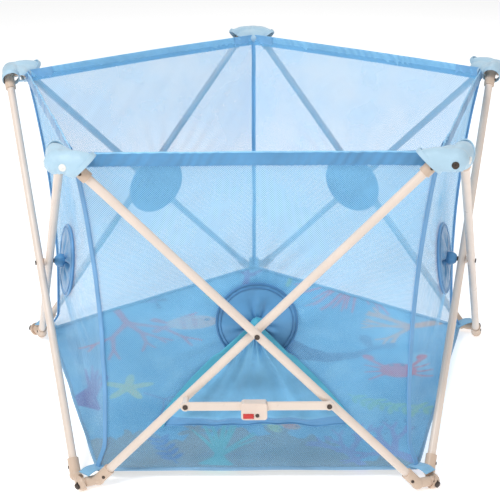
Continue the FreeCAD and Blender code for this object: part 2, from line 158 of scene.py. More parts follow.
def surface(name, points, materials, uv=None, wrap=False, cap_ends=False, face_slot=None, seam_uv=True):
    """A mesh over a grid of points, rows by columns. wrap joins the last column to the first;
    seam_uv then lets the weave map run on across that join."""
    rows, cols = points.shape[:2]
    mesh = bpy.data.meshes.new(name)
    index = np.arange(rows * cols).reshape(rows, cols)
    right = np.roll(index, -1, axis=1) if wrap else index[:, 1:]
    left = index if wrap else index[:, :-1]
    quads = np.stack([left[:-1], right[:-1], right[1:], left[1:]], axis=-1).reshape(-1, 4)
    faces = [tuple(int(i) for i in q) for q in quads]
    if cap_ends:
        faces.append(tuple(int(i) for i in index[0][::-1]))
        faces.append(tuple(int(i) for i in index[-1]))
    mesh.from_pydata(points.reshape(-1, 3).tolist(), [], faces)
    if uv is not None:
        flat = uv.reshape(-1, 2)
        layer = mesh.uv_layers.new(name="weave")
        corners = np.zeros(len(mesh.loops), np.int32)
        mesh.loops.foreach_get("vertex_index", corners)
        values = flat[corners]
        if wrap and seam_uv:
            across = flat[:, 0].reshape(rows, cols)
            step = across[0, 1] - across[0, 0]
            column = corners % cols
            loop_face = np.repeat(np.arange(len(quads)), 4)
            face_column = (np.arange(len(quads)) % cols)
            n = len(quads) * 4
            seam = (face_column[loop_face] == cols - 1) & (column[:n] == 0)
            values[:n][seam, 0] = across[0, -1] + step
        layer.data.foreach_set("uv", values.astype(np.float32).ravel())
    mesh.polygons.foreach_set("use_smooth", [True] * len(mesh.polygons))
    for material in materials:
        mesh.materials.append(material)
    if face_slot is not None:
        mesh.polygons.foreach_set("material_index", face_slot(quads, rows, cols, len(faces)))
    mesh.validate()
    mesh.update()
    piece = bpy.data.objects.new(name, mesh)
    bpy.context.collection.objects.link(piece)
    return piece


def grid_uv(s, z):
    s, z = np.broadcast_arrays(s, z)
    return np.stack([s, z], axis=-1)


def tube_along(name, line, radius, material, segments=12, flatten=1.0, up=None):
    """A round or flattened tube along an open line of points (n, 3)."""
    line = np.asarray(line, float)
    direction = np.gradient(line, axis=0)
    direction /= np.linalg.norm(direction, axis=1)[:, None]
    up = np.array((0, 0, 1.0) if up is None else up, float)
    side = np.cross(direction, np.broadcast_to(up, direction.shape))
    side /= np.linalg.norm(side, axis=1)[:, None]
    top = np.cross(side, direction)
    angle = np.arange(segments) * 2 * math.pi / segments
    ring = (side[:, None] * np.cos(angle)[None, :, None]
            + top[:, None] * np.sin(angle)[None, :, None] * flatten) * radius
    points = line[:, None] + ring
    length = np.concatenate([[0], np.cumsum(np.linalg.norm(np.diff(line, axis=0), axis=1))])
    uv = grid_uv((angle * radius)[None, :], length[:, None])
    return surface(name, points, [material], uv, wrap=True, cap_ends=True)


def ribbon(name, line, across, width, thickness, material, ridge=0.0):
    """A flat strip with rounded edges along a line; across holds its sideways unit vectors."""
    line, across = np.asarray(line, float), np.asarray(across, float)
    direction = np.gradient(line, axis=0)
    direction /= np.linalg.norm(direction, axis=1)[:, None]
    normal = np.cross(across, direction)
    normal /= np.linalg.norm(normal, axis=1)[:, None]
    half = np.linspace(-1, 1, 9)
    face = thickness / 2 * (1 - 0.55 * np.abs(half) ** 6) + ridge * np.exp(-((np.abs(half) - 0.72) / 0.14) ** 2)
    u = np.concatenate([half, half[::-1]]) * width / 2
    v = np.concatenate([face, -face[::-1]])
    points = line[:, None] + across[:, None] * u[None, :, None] + normal[:, None] * v[None, :, None]
    length = np.concatenate([[0], np.cumsum(np.linalg.norm(np.diff(line, axis=0), axis=1))])
    across_uv = np.concatenate([half, 2 + half]) * width / 2
    uv = grid_uv(across_uv[None, :], length[:, None])
    return surface(name, points, [material], uv, wrap=True, cap_ends=True)


def apply_modifiers(piece):
    depsgraph = bpy.context.evaluated_depsgraph_get()
    done = bpy.data.meshes.new_from_object(piece.evaluated_get(depsgraph))
    piece.modifiers.clear()
    piece.data = done
    return piece


# ---------------------------------------------------------------- materials

class Shader:
    """A Principled material with short helpers for its nodes."""

    def __init__(self, name, roughness, **sockets):
        self.material = bpy.data.materials.new(name)
        self.material.use_nodes = True
        self.tree = self.material.node_tree
        self.shader = self.tree.nodes["Principled BSDF"]
        self.shader.inputs["Roughness"].default_value = roughness
        for key, value in sockets.items():
            self.shader.inputs[key.replace("_", " ")].default_value = value

    def node(self, kind, **values):
        made = self.tree.nodes.new(kind)
        for key, value in values.items():
            setattr(made, key, value)
        return made

    def link(self, source, target):
        self.tree.links.new(source, target)

    def place(self):
        return self.node("ShaderNodeTexCoord").outputs["Object"]

    def weave_place(self):
        return self.node("ShaderNodeUVMap", uv_map="weave").outputs["UV"]

    def noise(self, scale, detail=3.0, vector=None, roughness=0.5):
        made = self.node("ShaderNodeTexNoise")
        made.inputs["Scale"].default_value = scale
        made.inputs["Detail"].default_value = detail
        made.inputs["Roughness"].default_value = roughness
        self.link(vector or self.place(), made.inputs["Vector"])
        return made.outputs["Fac"]

    def ramp(self, source, low, high, start=0.3, end=0.7):
        made = self.node("ShaderNodeValToRGB")
        made.color_ramp.elements[0].position = start
        made.color_ramp.elements[1].position = end
        made.color_ramp.elements[0].color = (*low, 1)
        made.color_ramp.elements[1].color = (*high, 1)
        self.link(source, made.inputs["Fac"])
        return made.outputs["Color"]

    def spread(self, source, low, high, start=0.0, end=1.0):
        made = self.node("ShaderNodeMapRange")
        for socket, value in zip(("From Min", "From Max", "To Min", "To Max"), (start, end, low, high)):
            made.inputs[socket].default_value = value
        self.link(source, made.inputs["Value"])
        return made.outputs["Result"]

    def math(self, operation, a, b=None):
        made = self.node("ShaderNodeMath", operation=operation)
        for socket, value in zip(made.inputs, (a, b)):
            if value is None:
                continue
            if isinstance(value, (int, float)):
                socket.default_value = value
            else:
                self.link(value, socket)
        return made.outputs[0]

    def mix(self, factor, a, b, blend="MIX"):
        made = self.node("ShaderNodeMix", data_type="RGBA", blend_type=blend)
        colours = [i for i in made.inputs if i.type == "RGBA"]
        factors = [i for i in made.inputs if i.name == "Factor" and i.type == "VALUE"]
        for socket, value in ((factors[0], factor), (colours[0], a), (colours[1], b)):
            if isinstance(value, (int, float)):
                socket.default_value = value
            elif isinstance(value, tuple):
                socket.default_value = (*value, 1)
            else:
                self.link(value, socket)
        return next(o for o in made.outputs if o.type == "RGBA")

    def colour(self, source):
        self.link(source, self.shader.inputs["Base Color"])

    def rough(self, source):
        self.link(source, self.shader.inputs["Roughness"])

    def bump(self, source, strength, distance, first=None):
        made = self.node("ShaderNodeBump")
        made.inputs["Strength"].default_value = strength
        made.inputs["Distance"].default_value = distance
        self.link(source, made.inputs["Height"])
        if first is not None:
            self.link(first, made.inputs["Normal"])
        return made.outputs["Normal"]

    def normal(self, source):
        self.link(source, self.shader.inputs["Normal"])

    def threads(self, pitch):
        """Crossing threads of a plain weave, 0 to 1, from the piece's weave map."""
        split = self.node("ShaderNodeSeparateXYZ")
        self.link(self.weave_place(), split.inputs[0])
        rate = 2 * math.pi / pitch
        waves_x = self.math("SINE", self.math("MULTIPLY", split.outputs["X"], rate))
        waves_y = self.math("SINE", self.math("MULTIPLY", split.outputs["Y"], rate))
        return self.spread(self.math("MULTIPLY", waves_x, waves_y), 0, 1, -1, 1)


def tinted(colour, factor):
    return tuple(min(1.0, c * factor) for c in colour)


def paint(name, colour, roughness=0.34):
    """Powder-coated steel: a fine orange peel, slight mottling and duller patches where it is handled."""
    m = Shader(name, roughness, Specular_IOR_Level=0.45)
    m.colour(m.ramp(m.noise(26, 4), tinted(colour, 0.955), tinted(colour, 1.02)))
    m.rough(m.spread(m.noise(60, 4), roughness - 0.07, roughness + 0.12, 0.3, 0.7))
    m.normal(m.bump(m.noise(900, 2), 0.10, 0.0006))
    return m.material


def moulded(name, colour, roughness=0.42, grain=1500):
    """Moulded plastic: a fine spark-eroded grain, and a little flow mottling."""
    m = Shader(name, roughness, Specular_IOR_Level=0.4)
    m.colour(m.ramp(m.noise(35, 3), tinted(colour, 0.94), tinted(colour, 1.03)))
    m.rough(m.spread(m.noise(90, 3), roughness - 0.06, roughness + 0.1, 0.3, 0.7))
    m.normal(m.bump(m.noise(grain, 2), 0.18, 0.0005))
    return m.material


def metal(name, colour, roughness=0.38):
    m = Shader(name, roughness, Metallic=0.85)
    m.colour(m.ramp(m.noise(220, 4), tinted(colour, 0.7), tinted(colour, 1.15)))
    m.rough(m.spread(m.noise(400, 3), roughness - 0.1, roughness + 0.18, 0.3, 0.7))
    m.normal(m.bump(m.noise(1200, 2), 0.15, 0.0003))
    return m.material


def woven(name, colour, pitch=0.0011, roughness=0.48, sheen=0.35, crumple=0.0010, contrast=0.10):
    """Closely woven nylon: threads, small creases, uneven dye and a soft sheen."""
    m = Shader(name, roughness, Sheen_Weight=sheen, Sheen_Roughness=0.35, Specular_IOR_Level=0.45)
    threads = m.threads(pitch)
    dye = m.ramp(m.noise(14, 4), tinted(colour, 1 - contrast), tinted(colour, 1 + contrast))
    m.colour(m.mix(m.spread(threads, 0.0, 0.22), dye, tinted(colour, 0.72)))
    m.rough(m.spread(m.noise(45, 3), roughness - 0.08, roughness + 0.10, 0.3, 0.7))
    creases = m.bump(m.noise(55, 5, roughness=0.62), 0.55, crumple)
    m.normal(m.bump(threads, 0.30, 0.0003, creases))
    return m.material


def webbing(name, colour):
    """Ribbed webbing."""
    m = Shader(name, 0.6, Sheen_Weight=0.3)
    split = m.node("ShaderNodeSeparateXYZ")
    m.link(m.weave_place(), split.inputs[0])
    ribs = m.spread(m.math("SINE", m.math("MULTIPLY", split.outputs["X"], 2 * math.pi / 0.0022)), 0, 1, -1, 1)
    m.colour(m.mix(m.spread(ribs, 0.35, 0.0), m.ramp(m.noise(60), tinted(colour, 0.9), tinted(colour, 1.06)),
                   tinted(colour, 0.6)))
    m.normal(m.bump(ribs, 0.5, 0.0006, m.bump(m.threads(0.0016), 0.3, 0.0003)))
    return m.material


NET_YARN_ALPHA = 0.72
NET_HOLE_ALPHA = 0.32


def net(name, colour, pitch=0.0042):
    """Knitted see-through net: diamond holes between soft yarns, and a faint cloudiness."""
    m = Shader(name, 0.62, Sheen_Weight=0.25, Specular_IOR_Level=0.2)
    split = m.node("ShaderNodeSeparateXYZ")
    m.link(m.weave_place(), split.inputs[0])
    rate = math.pi / pitch
    rising = m.math("MULTIPLY", m.math("ADD", split.outputs["X"], split.outputs["Y"]), rate)
    falling = m.math("MULTIPLY", m.math("SUBTRACT", split.outputs["X"], split.outputs["Y"]), rate)
    hole = m.math("ABSOLUTE", m.math("MULTIPLY", m.math("SINE", rising), m.math("SINE", falling)))
    cloud = m.noise(9, 4)
    yarn = m.spread(hole, NET_YARN_ALPHA, NET_HOLE_ALPHA, 0.15, 0.75)
    # The net is made more see-through towards its foot, so it reads darker there: painted shade standing in for the
    # dimmer light on the low net.
    height = m.node("ShaderNodeSeparateXYZ")
    m.link(m.place(), height.inputs[0])
    net_foot_painted_shade = m.spread(height.outputs["Z"], 0.66, 1.12, 0.05, 0.55)
    m.link(m.math("MULTIPLY", m.math("ADD", yarn, m.spread(cloud, -0.05, 0.05, 0.3, 0.7)), net_foot_painted_shade),
           m.shader.inputs["Alpha"])
    m.colour(m.ramp(cloud, tinted(colour, 0.94), tinted(colour, 1.06)))
    m.normal(m.bump(hole, 0.3, 0.0005))
    return m.material


def printed(name):
    """Printed nylon of the floor: its colours are worked out for each point of the mesh."""
    m = Shader(name, 0.55, Sheen_Weight=0.10, Specular_IOR_Level=0.25)
    ink = m.node("ShaderNodeAttribute", attribute_name="print").outputs["Color"]
    threads = m.threads(0.0018)
    grain = m.mix(m.spread(m.noise(30, 4), 0.0, 0.08, 0.35, 0.65), ink, (0.75, 0.90, 0.98))
    m.colour(m.mix(m.spread(threads, 0.0, 0.14), grain, (0.05, 0.20, 0.36)))
    m.normal(m.bump(threads, 0.3, 0.0004, m.bump(m.noise(22, 5), 0.6, 0.004)))
    return m.material


CREAM = paint("cream_paint", (0.80, 0.675, 0.585))
ELBOW = moulded("elbow_plastic", (0.66, 0.50, 0.385))
LOCK = moulded("lock_plastic", (0.80, 0.655, 0.56), 0.36)
RED = moulded("button_red", (0.60, 0.035, 0.03), 0.34)
SNAP = moulded("snap_white", (0.86, 0.85, 0.82), 0.3)
RIVET = metal("rivet_steel", (0.085, 0.065, 0.055))
SPRING = metal("spring_steel", (0.45, 0.45, 0.47), 0.3)
NET = net("mesh_fabric", (0.24, 0.575, 0.87))
# The two satins are copies of one cloth: the darker one also stands as painted shade on the hem's outside and the
# gusset's foot, and the paler one is painted light on the hem's inside.
SATIN = woven("satin_dark_and_painted_shade", (0.105, 0.315, 0.58), crumple=0.0016, roughness=0.38, sheen=0.5)
SATIN_PAINTED_LIT = woven("satin_inside_painted_lit", (0.28, 0.62, 0.92), crumple=0.0012)
CAP_CLOTH = woven("cap_cloth", (0.46, 0.66, 0.80), crumple=0.0014, contrast=0.06)
FACING = woven("facing_cloth", (0.24, 0.52, 0.82), crumple=0.0010)
TEAL = woven("teal_binding", (0.075, 0.40, 0.56), crumple=0.0010)
GUSSET = woven("gusset_cloth", (0.16, 0.43, 0.68), crumple=0.0022, contrast=0.20)
BINDING = woven("corner_binding", (0.16, 0.38, 0.66), crumple=0.0006)
PIPING = woven("dark_piping", (0.055, 0.20, 0.42), crumple=0.0006)
PIPING_LIGHT = woven("light_piping", (0.22, 0.42, 0.62), crumple=0.0006)
WEB = webbing("strap_webbing", (0.26, 0.54, 0.78))
PRINT = printed("floor_print")


# ---------------------------------------------------------------- CAD nodes

def finish_cad_nodes():
    """Gives the frame's own nodes their finishes; small screws inside an elbow's node are steel."""
    finishes = {"tube": [CREAM], "elbows": [ELBOW, RIVET], "cross": [RIVET, CREAM], "top": [RIVET],
                "foot": [RIVET]}
    locks = {"lock_arm_left": [CREAM], "lock_arm_right": [CREAM], "lock_housing": [LOCK],
             "lock_button": [RED], "lock_button_spring": [SPRING], "lock_rivet_left": [RIVET, CREAM],
             "lock_rivet_right": [RIVET], "lock_hinge_pin": [RIVET]}
    for name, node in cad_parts.items():
        materials = locks.get(name) or finishes.get(name.split("_")[0])
        if materials is None:
            continue
        mesh = node.data
        mesh.materials.clear()
        for material in materials:
            mesh.materials.append(material)
        if name.startswith("elbows"):
            paint_small_parts(mesh, 0.012, small=1, large=0)
        elif name.startswith("cross") or name == "lock_rivet_left":
            paint_small_parts(mesh, 0.0, small=0, large=0, hollow=1)


def loose_parts(mesh):
    """Lists of vertex indices, one for each connected part."""
    owner = list(range(len(mesh.vertices)))

    def find(i):
        while owner[i] != i:
            owner[i] = owner[owner[i]]
            i = owner[i]
        return i

    spots = {}
    for v in mesh.vertices:
        key = tuple(round(c, 6) for c in v.co)
        if key in spots:
            owner[find(v.index)] = find(spots[key])
        else:
            spots[key] = v.index
    for edge in mesh.edges:
        a, b = find(edge.vertices[0]), find(edge.vertices[1])
        if a != b:
            owner[a] = b
    parts = {}
    for v in mesh.vertices:
        parts.setdefault(find(v.index), []).append(v.index)
    return list(parts.values())


def paint_small_parts(mesh, size, small, large, hollow=None):
    """Sets each connected part's material slot: small parts, large ones, and for a pin its spacer."""
    parts = loose_parts(mesh)
    slot_of = {}
    lengths = []
    for part in parts:
        co = np.array([mesh.vertices[i].co for i in part])
        lengths.append(np.linalg.norm(co.max(0) - co.min(0)))
    for part, length in zip(parts, lengths):
        if hollow is not None:
            slot = hollow if len(parts) > 1 and length == min(lengths) else large
        else:
            slot = small if length < size else large
        for i in part:
            slot_of[i] = slot
    for polygon in mesh.polygons:
        polygon.material_index = slot_of[polygon.vertices[0]]


finish_cad_nodes()


# ---------------------------------------------------------------- fabric walls

def wall_outward(s, z):
    """How far out a wall's mesh stands: from its seams' line, drawn out to the tilted disc."""
    inset = seam_inset(z)
    base = APOTHEM - inset * math.cos(TURN / 2)
    d = np.hypot(s, z - CROSS_Z)
    behind_disc = APOTHEM - DISC_BACK - 0.007 - np.clip(z - CROSS_Z, -DISC_R, DISC_R) * math.tan(DISC_TILT)
    tent = (behind_disc - base) / (1 + (np.maximum(d - DISC_R, 0) / 0.11) ** 2)
    edge = smooth_step((SIDE / 2 - inset * math.sin(TURN / 2) - np.abs(s)) / 0.05)
    ends = smooth_step((z - PIPING_Z) / 0.06) * smooth_step((HEM_TOP - HEM_HEIGHT - z) / 0.05)
    return base + tent * edge * ends


def wall_creases(k, s, z):
    """Soft folds of the mesh: fans round the disc and slack pleats by the top corners."""
    d = np.hypot(s, z - CROSS_Z)
    turn = np.arctan2(z - CROSS_Z, s)
    fan = np.sin(23 * turn + 2.2 * waves(s * 3, z * 3, 40 + k)) * np.exp(-((d - 0.13) / 0.07) ** 2)
    slack = waves((s + z) * 15, (s - z) * 2.5, 50 + k, 2) + waves((s - z) * 15, (s + z) * 2.5, 60 + k, 2)
    near_top = smooth_step((z - 0.25) / 0.3)
    edge = smooth_step((SIDE / 2 - 0.05 - np.abs(s)) / 0.06)
    ends = smooth_step((z - PIPING_Z) / 0.05) * smooth_step((HEM_TOP - HEM_HEIGHT - z) / 0.05)
    loose = smooth_step((d - DISC_R) / 0.05)
    long_waves = waves(s * 2.4, z * 1.8, 70 + k, 2)
    return (0.0022 * fan + 0.0011 * slack * near_top * loose + 0.0030 * long_waves * loose) * edge * ends


def wall_mesh(k):
    z = np.linspace(PIPING_Z, HEM_TOP - HEM_HEIGHT * 0.5, 110)[:, None]
    across = np.linspace(-1, 1, 121)[None, :]
    s = across * (SIDE / 2 - seam_inset(z) * math.sin(TURN / 2))
    z = z + np.zeros_like(s)
    o = wall_outward(s, z) + wall_creases(k, s, z)
    return surface(f"wall_net_{PANELS[k]}", place(k, s, o, z), [NET], grid_uv(s, z))


def hem(k):
    """The top hem: a turned band with slanted puckers; one satin in two copies, the darker outside as painted shade
    and the paler inside as painted light.
    """
    reach = SIDE / 2 - seam_inset(HEM_TOP) * math.sin(TURN / 2)
    s = np.linspace(-reach, reach, 330)[:, None]
    around = np.linspace(0, 2 * math.pi, 28, endpoint=False)[None, :]
    upright = np.sign(np.sin(around)) * np.abs(np.sin(around)) ** 0.42
    through = np.sign(np.cos(around)) * np.abs(np.cos(around)) ** 0.9
    slanted = s - upright * HEM_HEIGHT * 0.32
    phase = slanted / 0.0215 + 0.55 * waves(s * 5, 0 * s, 80 + k, 3)
    strength = 0.35 + 0.65 * smooth_step((waves(s * 4.4, 0 * s, 85 + k, 2) + 0.45) / 0.9)
    pucker = 0.0016 * strength * np.sin(2 * math.pi * phase) + 0.0006 * waves(slanted * 42, 0 * slanted, 88 + k, 2)
    sway = 0.0014 * waves(s * 7, 0 * s, 90 + k, 2)
    stitched = 1 - 0.42 * np.exp(-((upright + 0.62) / 0.12) ** 2)
    z_mid = HEM_TOP - HEM_HEIGHT / 2 + 0.0020 * (1 - (s / reach) ** 2) + 0.0008 * waves(s * 2.2, 0 * s, 95 + k, 1)
    z = z_mid + upright * HEM_HEIGHT / 2 + 0.0006 * np.sin(2 * math.pi * s / 0.011) * np.clip(-upright, 0, 1)
    o_mid = APOTHEM - seam_inset(HEM_TOP) * math.cos(TURN / 2)
    puckered = pucker * (0.25 + 0.75 * np.clip(1 - upright ** 4, 0, 1))
    o = o_mid + through * HEM_THICKNESS / 2 * stitched + sway + puckered
    s = s + np.zeros_like(z)
    uv = grid_uv(z, s)

    def slots(quads, rows, cols, total):
        column = np.arange(len(quads)) % cols
        turn = 2 * math.pi * (column + 0.5) / cols
        # Faces on the hem's outer side take the darker satin as painted shade; the inner faces take the paler copy
        # as painted light.
        outside = (np.cos(turn) > -0.05) & (np.abs(np.sin(turn)) ** 0.42 * np.sign(np.sin(turn)) < 0.86)
        return np.concatenate([np.where(outside, 0, 1), np.zeros(total - len(quads))]).astype(np.int32)

    return surface(f"top_hem_{PANELS[k]}", place(k, s, o, z), [SATIN, SATIN_PAINTED_LIT], uv, wrap=True,
                   cap_ends=True, face_slot=slots)


def facings(k):
    """Pale facings sewn inside both ends of the hem, behind the corner caps."""
    made = []
    for end in (-1, 1):
        reach = SIDE / 2 - seam_inset(HEM_TOP) * math.sin(TURN / 2)
        t = np.linspace(0, 1, 30)[None, :]
        s = end * (reach - 0.0012 - t * 0.062)
        depth = HEM_HEIGHT * (0.78 + 0.20 * smooth_step(t))
        v = np.linspace(0, 1, 22)[:, None]
        z = HEM_TOP + 0.0006 - v * depth
        o_mid = APOTHEM - seam_inset(HEM_TOP) * math.cos(TURN / 2) - HEM_THICKNESS * 0.78
        o = o_mid + 0.0008 * waves(s * 30, z * 20, 100 + k, 2) - 0.0006 * np.exp(-((v - 0.9) / 0.05) ** 2)
        s = s + np.zeros_like(z)
        made.append((s, o, z + np.zeros_like(s)))
    side = "left", "right"
    return [surface(f"corner_facing_{PANELS[k]}_{side[i]}", place(k, s, o, z), [FACING], grid_uv(s, z))
            for i, (s, o, z) in enumerate(made)]


def bottom_piping(k):
    """Piping along the foot of the wall, where the floor is sewn on."""
    reach = SIDE / 2 - seam_inset(PIPING_Z) * math.sin(TURN / 2)
    s = np.linspace(-reach, reach, 140)
    o = APOTHEM - seam_inset(PIPING_Z) * math.cos(TURN / 2) + 0.0010 * waves(s * 6, s * 0, 110 + k, 2)
    z = PIPING_Z - 0.0008 + 0.0010 * waves(s * 5, s * 0, 120 + k, 2)
    return tube_along(f"foot_piping_{PANELS[k]}", place(k, s, o, z), PIPING_R, PIPING_LIGHT)


def corner_binding(k):
    """Bound seam between two walls, bowing inward between the cap and the strap."""
    z = np.linspace(PIPING_Z - 0.001, HEM_TOP - 0.004, 90)
    inset = seam_inset(z) - 0.0012
    out = radial(k)
    tangent = Vector((0, 0, 1)).cross(out)
    line = np.array([corner(k, h) - out * i for h, i in zip(z, inset)])
    sway = 0.0012 * waves(z * 5, z * 0, 130 + k, 2)
    line = line + np.array(tangent)[None, :] * sway[:, None]
    across = np.tile(np.array(-tangent), (len(z), 1))
    width = BINDING_WIDTH * (1 + 0.10 * waves(z * 9, z * 0, 140 + k, 1))
    return ribbon(f"corner_binding_{CORNERS[k]}", line, across, float(width.mean()), BINDING_T, BINDING,
                  ridge=0.0008)


# ---------------------------------------------------------------- disc, tie and gusset

def disc_place(k, x, y, height):
    """Points on the tilted disc: x across, y up its face and height off it."""
    tilt_s, tilt_c = math.sin(DISC_TILT), math.cos(DISC_TILT)
    z = CROSS_Z - 0.003 + y * tilt_c + height * tilt_s
    return place(k, x, APOTHEM - DISC_BACK - y * tilt_s + height * tilt_c, z)


def disc(k):
    """Padded round patch behind the crossing, tilted, with broad folds drawn in to its middle."""
    rng = np.random.default_rng(150 + k)
    r = np.linspace(0.0, 1.0, 34)[:, None]
    turn = np.linspace(0, 2 * math.pi, 144, endpoint=False)[None, :]
    folds = np.zeros((34, 144))
    for i in range(7):
        at = 2 * math.pi * (i + rng.uniform(-0.35, 0.35)) / 7
        sharp = rng.uniform(0.12, 0.26)
        gap = (turn - at + 0.5 * (r - 0.4) * rng.uniform(-1, 1) + math.pi) % (2 * math.pi) - math.pi
        reach = rng.uniform(0.70, 1.05)
        folds += -rng.uniform(0.5, 1.2) * np.exp(-(gap / (sharp * (0.45 + r))) ** 2) * np.exp(-(r / reach) ** 6)
    crown = DISC_CROWN * (1 - r ** 2.6) ** 0.8 - 0.004 * np.exp(-(r / 0.20) ** 2)
    front = crown + 0.0075 * folds * np.sin(math.pi * np.clip(r, 0, 1) ** 0.8) + 0.0007 * np.sin(26 * turn) * r ** 8
    front = front + 0.0014 * waves(r * np.cos(turn) * 1.3, r * np.sin(turn) * 1.3, 155 + k, 2) * (1 - r ** 4)
    back = np.full_like(front, -0.0030)
    x, y = DISC_R * r * np.cos(turn), DISC_R * r * np.sin(turn)
    points = np.concatenate([disc_place(k, x, y, front), disc_place(k, x, y, back)[::-1]], axis=0)
    uv_front = grid_uv(x, y)
    uv = np.concatenate([uv_front, uv_front[::-1]], axis=0)
    piece = surface(f"disc_{PANELS[k]}", points, [SATIN], uv, wrap=True, seam_uv=False)
    weld(piece)
    rims = []
    for i, (share, radius) in enumerate(((1.0, 0.0026), (0.905, 0.0013))):
        a = np.linspace(0, 2 * math.pi, 96, endpoint=False)
        height = 0.0008 if i == 0 else DISC_CROWN * (1 - share ** 2.6) ** 0.8 + 0.0004
        line = disc_place(k, DISC_R * share * np.cos(a), DISC_R * share * np.sin(a), height)
        rims.append(ring_tube(f"disc_piping_{PANELS[k]}_{i + 1}", line, radius, PIPING if k == 0 else BINDING))
    return piece, rims


def weld(piece):
    """Joins points that lie together, such as a round surface's pole or the end of a ring."""
    work = bmesh.new()
    work.from_mesh(piece.data)
    bmesh.ops.remove_doubles(work, verts=work.verts, dist=1e-6)
    work.to_mesh(piece.data)
    work.free()
    piece.data.update()


def ring_tube(name, line, radius, material, segments=10):
    """A closed round cord through points (n, 3) on a ring."""
    line = np.asarray(line, float)
    direction = np.roll(line, -1, axis=0) - np.roll(line, 1, axis=0)
    direction /= np.linalg.norm(direction, axis=1)[:, None]
    centre = line.mean(axis=0)
    out = line - centre
    out /= np.linalg.norm(out, axis=1)[:, None]
    side = np.cross(direction, out)
    angle = np.arange(segments) * 2 * math.pi / segments
    ring = (out[:, None] * np.cos(angle)[None, :, None] + side[:, None] * np.sin(angle)[None, :, None]) * radius
    points = line[:, None] + ring
    points = np.concatenate([points, points[:1]], axis=0)
    step = np.linalg.norm(line[1] - line[0])
    uv = grid_uv((angle * radius)[None, :], (np.arange(len(points)) * step)[:, None])
    piece = surface(name, points, [material], uv, wrap=True)
    weld(piece)
    return piece


def tie(k):
    """Gathered tab that ties the disc to the crossing pin."""
    turn = np.linspace(0, 2 * math.pi, 48, endpoint=False)[None, :]
    t = np.linspace(0, 1, 22)[:, None]
    start, end = APOTHEM - DISC_BACK + 0.002, APOTHEM - 0.0195
    o = start + (end - start) * t
    swell = 0.0090 + 0.0045 * np.sin(math.pi * np.clip(t * 1.15, 0, 1)) - 0.0060 * smooth_step((t - 0.86) / 0.14)
    radius = swell * (1 + 0.07 * np.sin(9 * turn + 1.5 * np.sin(3 * turn)) * (1 - t))
    s = 0.001 + radius * np.cos(turn)
    z = CROSS_Z - 0.001 + radius * 1.1 * np.sin(turn)
    uv = grid_uv(turn * 0.012 + 0 * t, o + 0 * turn)
    return surface(f"disc_tie_{PANELS[k]}", place(k, s, o + 0 * s, z), [TEAL if k == 0 else SATIN], uv,
                   wrap=True, cap_ends=True)


def gusset_point(k, t, w):
    """Point of the gusset: t runs from the apex down, w across from -1 to 1."""
    apex_z = CROSS_Z - 0.004
    low = GUSSET_LOW + 0.004 * np.cos(w * 2.6) + 0.0045 * waves(w * 1.6, 0 * w, 160 + k, 2)
    s = -0.004 * (1 - t) + GUSSET_HALF * w * (1.2 * t - 0.2 * t * t)
    z = apex_z + (low - apex_z) * t
    face = APOTHEM - GUSSET_BACK - 0.004 * smooth_step(t / 0.5)
    seam = np.minimum(wall_outward(s, np.maximum(z, PIPING_Z)) + 0.0035, face)
    over_disc = smooth_step((DISC_R + 0.030 - np.hypot(s, z - CROSS_Z)) / 0.028)
    seam = seam + np.maximum(disc_front(z) - seam, 0) * over_disc
    rise = np.sqrt(np.clip(1 - np.abs(w) ** 3, 0, 1)) * smooth_step(t / 0.25)
    turn_in = smooth_step((t - 0.86) / 0.14)
    fan = w * 17 + 2.6 * waves(w * 1.1, t * 0.6, 170 + k, 2)
    gather = np.sin(fan) * np.exp(-t / 0.38) * smooth_step(t / 0.06) * 0.0058
    folds = waves(w * 2.4, t * 0.5, 180 + k, 2) * 0.0060 * smooth_step(t / 0.3)
    band = -0.0045 * np.exp(-((t - 0.80) / 0.05) ** 2) + 0.003 * np.exp(-((t - 0.90) / 0.04) ** 2)
    drape = (gather + folds + band) * np.clip(1.15 - w ** 2, 0, 1)
    o = seam + (face - seam) * rise * (1 - 0.60 * turn_in) + drape * (1 - 0.5 * turn_in)
    return s, np.minimum(o, APOTHEM - 0.0205), z


def disc_front(z):
    """How far out the disc's padded front stands at a height."""
    return APOTHEM - DISC_BACK - (z - CROSS_Z) * math.tan(DISC_TILT) + DISC_CROWN + 0.002


def gusset_foot_painted_shade(quads, rows, cols, total):
    """Material slots of the gusset's faces: a band of the darker satin along its foot, painted shade where the
    turned-under foot faces down.
    """
    return (np.arange(total) // (cols - 1) > rows * 0.88).astype(np.int32)


def gusset(k):
    """The gathered gusset, then its hem and the bindings of its two edges."""
    t = np.linspace(0.0, 1, 100)[:, None]
    w = np.linspace(-1, 1, 141)[None, :]
    t, w = np.broadcast_arrays(t, w)
    s, o, z = gusset_point(k, t, w)
    # The gusset's foot band takes the darker satin as painted shade.
    piece = surface(f"gusset_{PANELS[k]}", place(k, s, o, z), [GUSSET, SATIN], grid_uv(s, z),
                    face_slot=gusset_foot_painted_shade)
    lower = np.linspace(-1, 1, 100)
    s, o, z = gusset_point(k, np.ones_like(lower), lower)
    trims = [tube_along(f"gusset_hem_{PANELS[k]}", place(k, s, o, z), 0.0014, SATIN)]
    for side, name in ((-1, "left"), (1, "right")):
        t = np.linspace(0.0, 1.0, 60)
        s, o, z = gusset_point(k, t, np.full_like(t, side))
        shift = (side * 0.0045 - 0.004) * smooth_step(t / 0.3)
        line = place(k, s + shift, np.minimum(o + 0.004, APOTHEM - 0.0215), z)
        direction = np.gradient(line, axis=0)
        direction /= np.linalg.norm(direction, axis=1)[:, None]
        normal = np.array(outward(k)) * 0.92 + np.array((0, 0, 0.25))
        across = np.cross(direction, normal)
        across /= np.linalg.norm(across, axis=1)[:, None]
        trims.append(ribbon(f"gusset_binding_{PANELS[k]}_{name}", line, across, 0.0175, 0.0024, TEAL, ridge=0.0006))
    return [piece, *trims]


